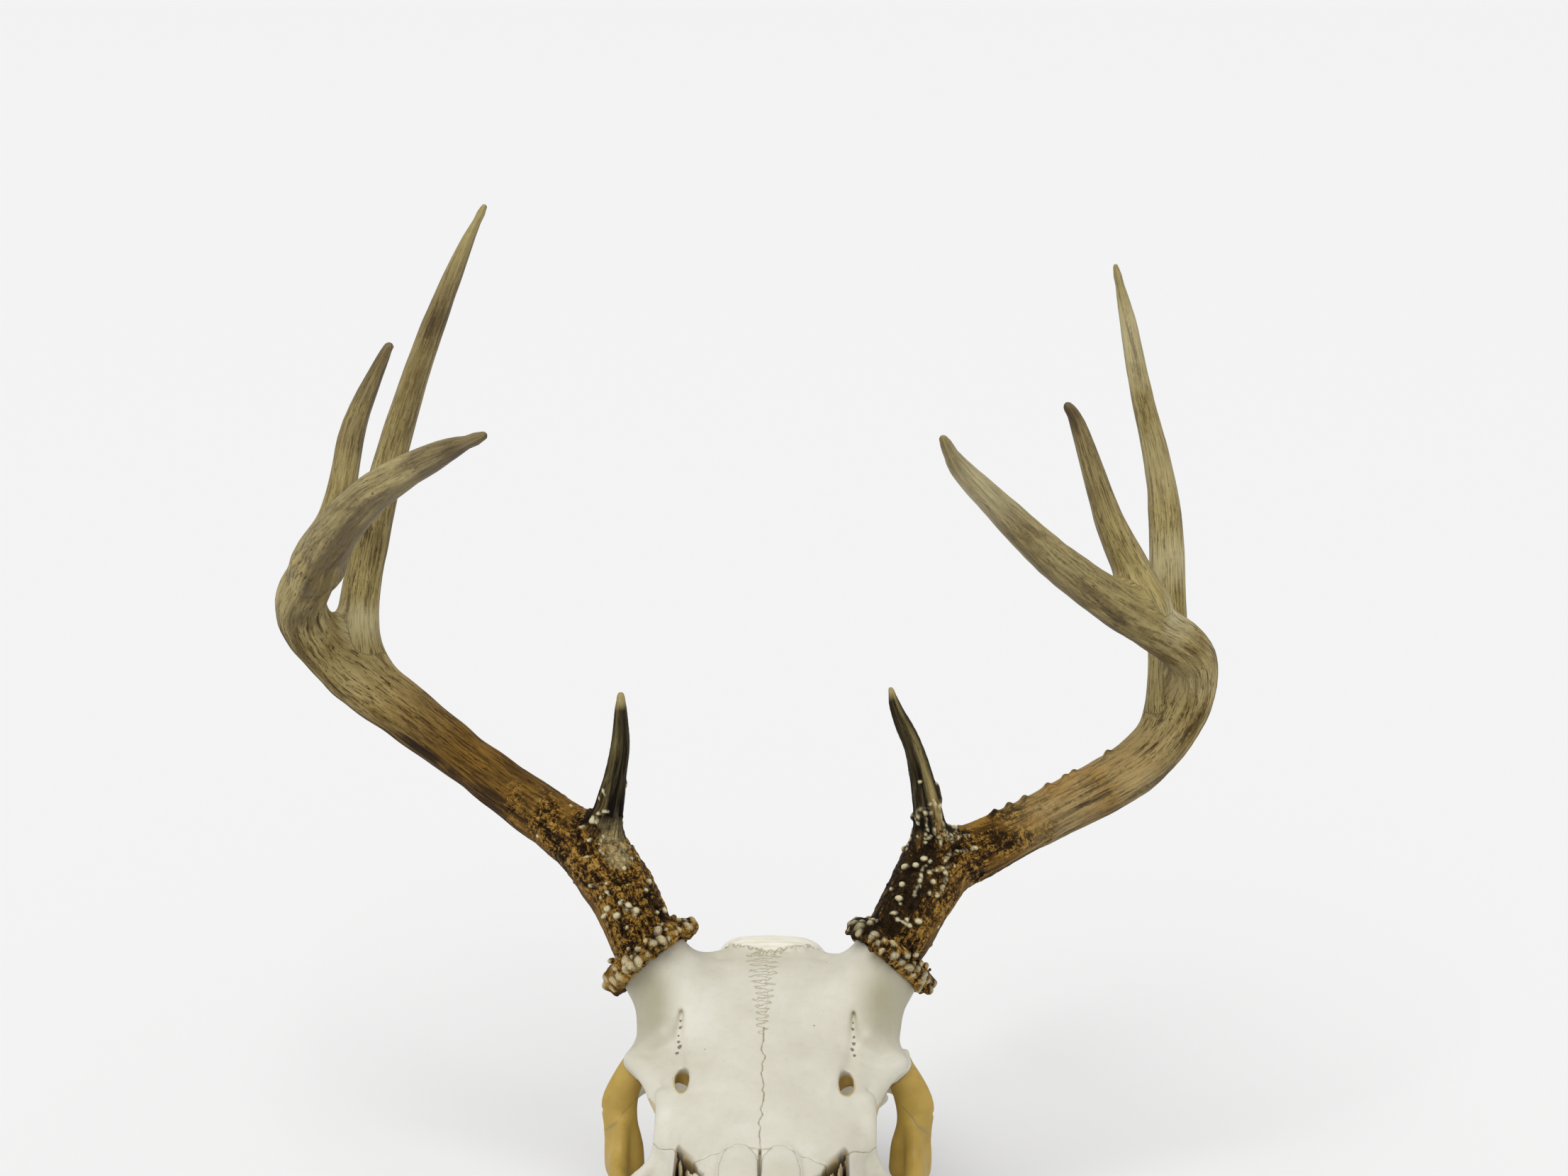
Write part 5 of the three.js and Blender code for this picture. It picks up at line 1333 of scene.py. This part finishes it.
    height = addNode(material, "Math", height,
                     addNode(material, "Math", addNode(material, "Math", seam, holes, operation="ADD"),
                             0.8, operation="MULTIPLY"), operation="SUBTRACT")
    height = addNode(material, "Math", height, addNode(material, "Math", dots, 1.2, operation="MULTIPLY"),
                     operation="SUBTRACT")
    bump = addNode(material, "Bump", 0.5, boneLook["bumpDepth"], Height=height)
    material.node_tree.links.new(bump, shader.inputs["Normal"])
    return material


antlerLook = {
    "deep": "#110904", "sap": "#2C1B0A", "trunk": "#6C4C1E", "gold": "#A67C31", "goldLight": "#C09D58",
    "cream": "#D8CCA2",
    "beam": "#7C6530", "beamLight": "#B9A570", "upper": "#7F6D3B", "upperLight": "#B5A46C", "tip": "#867850",
    "fleck": "#4A3616", "umber": "#463112", "pale": "#D2C79D", "root": "#CBB681",
    "shadowFoot": "#2A1B09", "shadowBeam": "#3E2D12", "shadowUpper": "#665630", "shadowTip": "#6A5C36",
    "streakMm": (13, 1.0), "wideStreakMm": (34, 4.2), "fleckMm": (4.5, 0.8), "threadMm": (9, 0.55),
    "blotchMm": 20, "crumbMm": 2.0, "gritMm": 0.8, "crackMm": 4.2, "bumpDepth": 0.0011,
}


def stretched(material, flow, sizes, detail, rough, distortion):  # streaks that run with the beam
    longMm, wideMm = sizes
    turned = addNode(material, "Mapping", flow, Scale=(1 / longMm, 1 / wideMm, 1 / wideMm))
    return addNode(material, "TexNoise", turned, Scale=1.0, Detail=detail, Roughness=rough,
                   Distortion=distortion)


# Rubbed, weathered antler: black sap in the hollows, golden ridges, ivory pearls and paler tines.
def makeAntlerFinish():
    material, shader = startMaterial("weathered antler", 0.5, 1.52)
    place = addNode(material, "TexCoord", give="Object")
    flow = addNode(material, "Attribute", attribute_name="flow", give="Vector")
    names = ("share", "relief", "pearl", "crust", "umber", "upper", "soot", "browSide", "pale")
    share, relief, pearl, crust, umber, upper, soot, browSide, pale = (
        addNode(material, "Attribute", attribute_name=name, give="Fac") for name in names)
    streak = stretched(material, flow, antlerLook["streakMm"], 6, 0.7, 0.25)
    wideStreak = stretched(material, flow, antlerLook["wideStreakMm"], 4, 0.6, 0.7)
    fleck = stretched(material, flow, antlerLook["fleckMm"], 3, 0.6, 0.2)
    thread = stretched(material, flow, antlerLook["threadMm"], 4, 0.65, 0.3)
    blotch = addNode(material, "TexNoise", place, Scale=1000 / antlerLook["blotchMm"], Detail=4,
                     Roughness=0.6)
    crumb = addNode(material, "TexNoise", place, Scale=1000 / antlerLook["crumbMm"], Detail=5,
                    Roughness=0.7)
    grit = addNode(material, "TexNoise", place, Scale=1000 / antlerLook["gritMm"], Detail=3, Roughness=0.7)
    ground = addNode(material, "ValToRGB", share,
                     stops=[(0.0, antlerLook["trunk"]), (0.24, antlerLook["trunk"]),
                            (0.36, antlerLook["beam"]), (0.56, antlerLook["upper"]),
                            (0.85, antlerLook["upper"]), (1.0, antlerLook["tip"])])
    light = addNode(material, "ValToRGB", share,
                    stops=[(0.0, antlerLook["gold"]), (0.28, antlerLook["gold"]),
                           (0.4, antlerLook["beamLight"]), (0.6, antlerLook["upperLight"]),
                           (1.0, antlerLook["upperLight"])])
    colour = addNode(material, "Mix",
                     addNode(material, "ValToRGB", wideStreak, stops=[(0.38, 0), (0.62, 1)]), ground,
                     light, data_type="RGBA")
    colour = addNode(material, "Mix",
                     addNode(material, "Math",
                             addNode(material, "ValToRGB", crumb, stops=[(0.5, 0), (0.66, 1)]), 0.5,
                             operation="MULTIPLY"), colour, light, data_type="RGBA")
    # Painted light: faces turned up get a painted highlight, and the undersides get painted shade.
    paintedLightShare = addNode(material, "Math",
                         addNode(material, "Math", wideStreak, 0.5, operation="SUBTRACT"), 0.9, upper,
                         operation="MULTIPLY_ADD")
    shadow = addNode(material, "ValToRGB", share,
                     stops=[(0.0, antlerLook["shadowFoot"]), (0.4, antlerLook["shadowBeam"]),
                            (0.6, antlerLook["shadowUpper"]), (1.0, antlerLook["shadowTip"])])
    colour = addNode(material, "Mix",
                     addNode(material, "ValToRGB", paintedLightShare, stops=[(0.2, 0.85), (0.6, 0)]), colour,
                     shadow, data_type="RGBA")
    # A painted highlight in streaks on the faces turned up.
    paintedHighlightShare = addNode(material, "Math", addNode(material, "Math", streak, 0.5, operation="SUBTRACT"),
                        0.9, upper, operation="MULTIPLY_ADD")
    colour = addNode(material, "Mix",
                     addNode(material, "ValToRGB", paintedHighlightShare, stops=[(0.68, 0), (0.98, 0.6)]), colour,
                     light, data_type="RGBA")
    umberShare = addNode(material, "Math", umber,
                         addNode(material, "ValToRGB", streak, stops=[(0.38, 1), (0.68, 0.4)]),
                         operation="MULTIPLY")
    colour = addNode(material, "Mix", umberShare, colour, antlerLook["umber"], data_type="RGBA")
    # Dark sap lies in the hollows and in streaks, strong near the head and fading to the tips.
    strength = addNode(material, "ValToRGB", share,
                       stops=[(0.0, 1.0), (0.3, 0.95), (0.5, 0.8), (0.62, 0.65), (0.88, 0.6), (1.0, 0.3)])
    dark = addNode(material, "Math", addNode(material, "ValToRGB", streak, stops=[(0.4, 1), (0.47, 0)]),
                   strength, operation="MULTIPLY")
    patchy = addNode(material, "ValToRGB", blotch, stops=[(0.38, 0.2), (0.58, 1)])
    colour = addNode(material, "Mix", addNode(material, "Math", dark, patchy, operation="MULTIPLY"),
                     colour, antlerLook["fleck"], data_type="RGBA")
    flecks = addNode(material, "Math", addNode(material, "ValToRGB", fleck, stops=[(0.34, 1), (0.42, 0)]),
                     addNode(material, "ValToRGB", blotch, stops=[(0.37, 0), (0.53, 0.95)]),
                     operation="MULTIPLY")
    colour = addNode(material, "Mix", flecks, colour, antlerLook["fleck"], data_type="RGBA")
    # Dark sap in the umber washes: partly a real stain, and partly painted shade, as it is kept off the faces
    # turned up.
    soaked = addNode(material, "Math", umber,
                     addNode(material, "ValToRGB", share, stops=[(0.45, 0.95), (0.6, 0.35)]),
                     operation="MULTIPLY")
    soaked = addNode(material, "Math", soaked,
                     addNode(material, "ValToRGB", paintedLightShare, stops=[(0.5, 1), (0.85, 0.3)]),
                     operation="MULTIPLY")
    broad = addNode(material, "Math", addNode(material, "Math", streak, 0.5, operation="SUBTRACT"), 0.7,
                    wideStreak, operation="MULTIPLY_ADD")
    soaked = addNode(material, "Math", soaked,
                     addNode(material, "ValToRGB", broad, stops=[(0.47, 1), (0.54, 0.05)]),
                     operation="MULTIPLY")
    colour = addNode(material, "Mix", soaked, colour, antlerLook["sap"], data_type="RGBA")
    threads = addNode(material, "Math",
                      addNode(material, "ValToRGB", thread, stops=[(0.37, 0.9), (0.44, 0)]), strength,
                      operation="MULTIPLY")
    colour = addNode(material, "Mix", threads, colour, antlerLook["sap"], data_type="RGBA")
    paleShare = addNode(material, "Math", pale,
                        addNode(material, "ValToRGB", streak, stops=[(0.34, 0.2), (0.56, 1)]),
                        operation="MULTIPLY")
    colour = addNode(material, "Mix", paleShare, colour, antlerLook["pale"], data_type="RGBA")
    relief = addNode(material, "Math", addNode(material, "Math", crumb, 0.5, operation="SUBTRACT"), 0.8,
                     relief, operation="MULTIPLY_ADD")
    hollow = addNode(material, "Math", addNode(material, "ValToRGB", relief, stops=[(0.2, 1), (0.6, 0)]),
                     strength, operation="MULTIPLY")
    colour = addNode(material, "Mix", addNode(material, "Math", hollow, 0.8, operation="MULTIPLY"), colour,
                     antlerLook["sap"], data_type="RGBA")
    # The foot is crusted: golden crumbs over dark brown, with fine winding cracks.
    winding = addNode(material, "Math",
                      addNode(material, "Math",
                              addNode(material, "TexNoise", place, Scale=1000 / antlerLook["crackMm"],
                                      Detail=3, Roughness=0.6, Distortion=0.8), 0.5, operation="SUBTRACT"),
                      operation="ABSOLUTE")
    cracks = addNode(material, "ValToRGB", winding, stops=[(0.0, 1), (0.05, 0)])
    height = addNode(material, "Math", addNode(material, "Math", crumb, 0.5, operation="SUBTRACT"), 1.15,
                     addNode(material, "Math", relief, 0.35, 0.345, operation="MULTIPLY_ADD"),
                     operation="MULTIPLY_ADD")
    height = addNode(material, "Math", addNode(material, "Math", streak, 0.5, operation="SUBTRACT"), 1.0,
                     height, operation="MULTIPLY_ADD")
    height = addNode(material, "Math", addNode(material, "Math", grit, 0.5, operation="SUBTRACT"), 0.7,
                     height, operation="MULTIPLY_ADD")
    height = addNode(material, "Math", cracks, -0.22, height, operation="MULTIPLY_ADD")
    height = addNode(material, "Math", soot, -0.34, height, operation="MULTIPLY_ADD")
    crustTone = addNode(material, "ValToRGB", height,
                        stops=[(0.26, antlerLook["deep"]), (0.42, antlerLook["sap"]),
                               (0.54, antlerLook["trunk"]), (0.66, antlerLook["gold"]),
                               (0.88, antlerLook["goldLight"])])
    colour = addNode(material, "Mix", addNode(material, "ValToRGB", crust, stops=[(0.2, 0), (0.62, 0.92)]),
                     colour, crustTone, data_type="RGBA")
    # The brow tines are nearly black on their sides.
    browDark = addNode(material, "Math", browSide,
                       addNode(material, "ValToRGB", wideStreak, stops=[(0.4, 1), (0.75, 0.75)]),
                       operation="MULTIPLY")
    colour = addNode(material, "Mix", browDark, colour, antlerLook["deep"], data_type="RGBA")
    rootPale = addNode(material, "Math", paleShare,
                       addNode(material, "ValToRGB", share, stops=[(0.3, 1), (0.4, 0)]),
                       operation="MULTIPLY")
    rootPale = addNode(material, "Math", rootPale,
                       addNode(material, "ValToRGB", crumb, stops=[(0.34, 0.35), (0.48, 1)]),
                       operation="MULTIPLY")
    colour = addNode(material, "Mix", rootPale, colour, antlerLook["root"], data_type="RGBA")
    ivory = addNode(material, "Math", pearl,
                    addNode(material, "ValToRGB", crumb, stops=[(0.25, 0.55), (0.5, 1)]),
                    operation="MULTIPLY")
    colour = addNode(material, "Mix", ivory, colour, antlerLook["cream"], data_type="RGBA")
    material.node_tree.links.new(colour, shader.inputs["Base Color"])
    rubbed = addNode(material, "Math", pearl,
                     addNode(material, "ValToRGB", share, stops=[(0.45, 0), (1, 0.8)]),
                     operation="MAXIMUM")
    rubbed = addNode(material, "Math", rubbed,
                     addNode(material, "Math", 1.0, browSide, operation="SUBTRACT"), operation="MULTIPLY")
    polish = addNode(material, "MapRange", rubbed, To_Min=0.62, To_Max=0.42)
    material.node_tree.links.new(polish, shader.inputs["Roughness"])
    # Dried sap is dull.
    sheen = addNode(material, "MapRange", rubbed, To_Min=0.1, To_Max=0.4)
    material.node_tree.links.new(sheen, shader.inputs["Specular IOR Level"])
    crumbs = addNode(material, "Math",
                     addNode(material, "Math", cracks, -0.5, crumb, operation="MULTIPLY_ADD"),
                     addNode(material, "Math", crust, 1.5, 0.12, operation="MULTIPLY_ADD"),
                     operation="MULTIPLY")
    rough = addNode(material, "Math", streak, 0.8, crumbs, operation="MULTIPLY_ADD")
    rough = addNode(material, "Math", rough,
                    addNode(material, "ValToRGB", share, stops=[(0, 1), (0.5, 0.6), (0.7, 0.3), (1, 0.12)]),
                    operation="MULTIPLY")
    rough = addNode(material, "Math", rough,
                    addNode(material, "Math", 1.0,
                            addNode(material, "Math", pearl, 0.85, operation="MULTIPLY"),
                            operation="SUBTRACT"), operation="MULTIPLY")
    bump = addNode(material, "Bump", 0.9, antlerLook["bumpDepth"], Height=rough)
    material.node_tree.links.new(bump, shader.inputs["Normal"])
    return material


bone, antlerFinish = makeBone(), makeAntlerFinish()
for piece in bonePieces:
    piece.data.materials.append(bone)
for piece in antlerPieces:
    piece.data.materials.append(antlerFinish)
report("materials made")

# Floor, light and camera.

studio = {"floorSize": 24.0, "floorColour": "#F7F7F7", "worldLight": 0.53,
          "keyStrength": 1.55, "keyAngle": 42, "keyWay": (0.2, 0.55, -1.25)}
view = {"place": (0.04906, -1.01344, 0.61173), "tilt": 72, "turn": 1.8, "sensorMm": 36, "lensMm": 72.37}

bpy.ops.object.select_all(action="DESELECT")
bpy.ops.mesh.primitive_plane_add(size=studio["floorSize"], location=(0, 2, 0))
floor = bpy.context.active_object
floor.name = "floor"
paper, paperShader = startMaterial("matte white paper", 0.9, 1.45)
paperShader.inputs["Base Color"].default_value = shade(studio["floorColour"])
floor.data.materials.append(paper)

world = bpy.data.worlds.new("soft white room")
bpy.context.scene.world = world
world.use_nodes = True
world.node_tree.nodes["Background"].inputs["Color"].default_value = (1, 1, 1, 1)
world.node_tree.nodes["Background"].inputs["Strength"].default_value = studio["worldLight"]

bpy.ops.object.light_add(type="SUN", location=(-0.4, -1.2, 2.0))
key = bpy.context.active_object
key.name = "overhead softbox"
key.data.energy = studio["keyStrength"]
key.data.angle = math.radians(studio["keyAngle"])
key.rotation_euler = Vector(studio["keyWay"]).to_track_quat("-Z", "Y").to_euler()

camera = bpy.data.objects.new("camera", bpy.data.cameras.new("camera"))
bpy.context.collection.objects.link(camera)
camera.data.sensor_width = view["sensorMm"]
camera.data.lens = view["lensMm"]
camera.data.clip_end = 50
camera.location = view["place"]
camera.rotation_euler = (math.radians(view["tilt"]), 0, math.radians(view["turn"]))
bpy.context.scene.camera = camera
bpy.context.scene.view_settings.view_transform = "Standard"

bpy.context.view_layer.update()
report("scene ready")
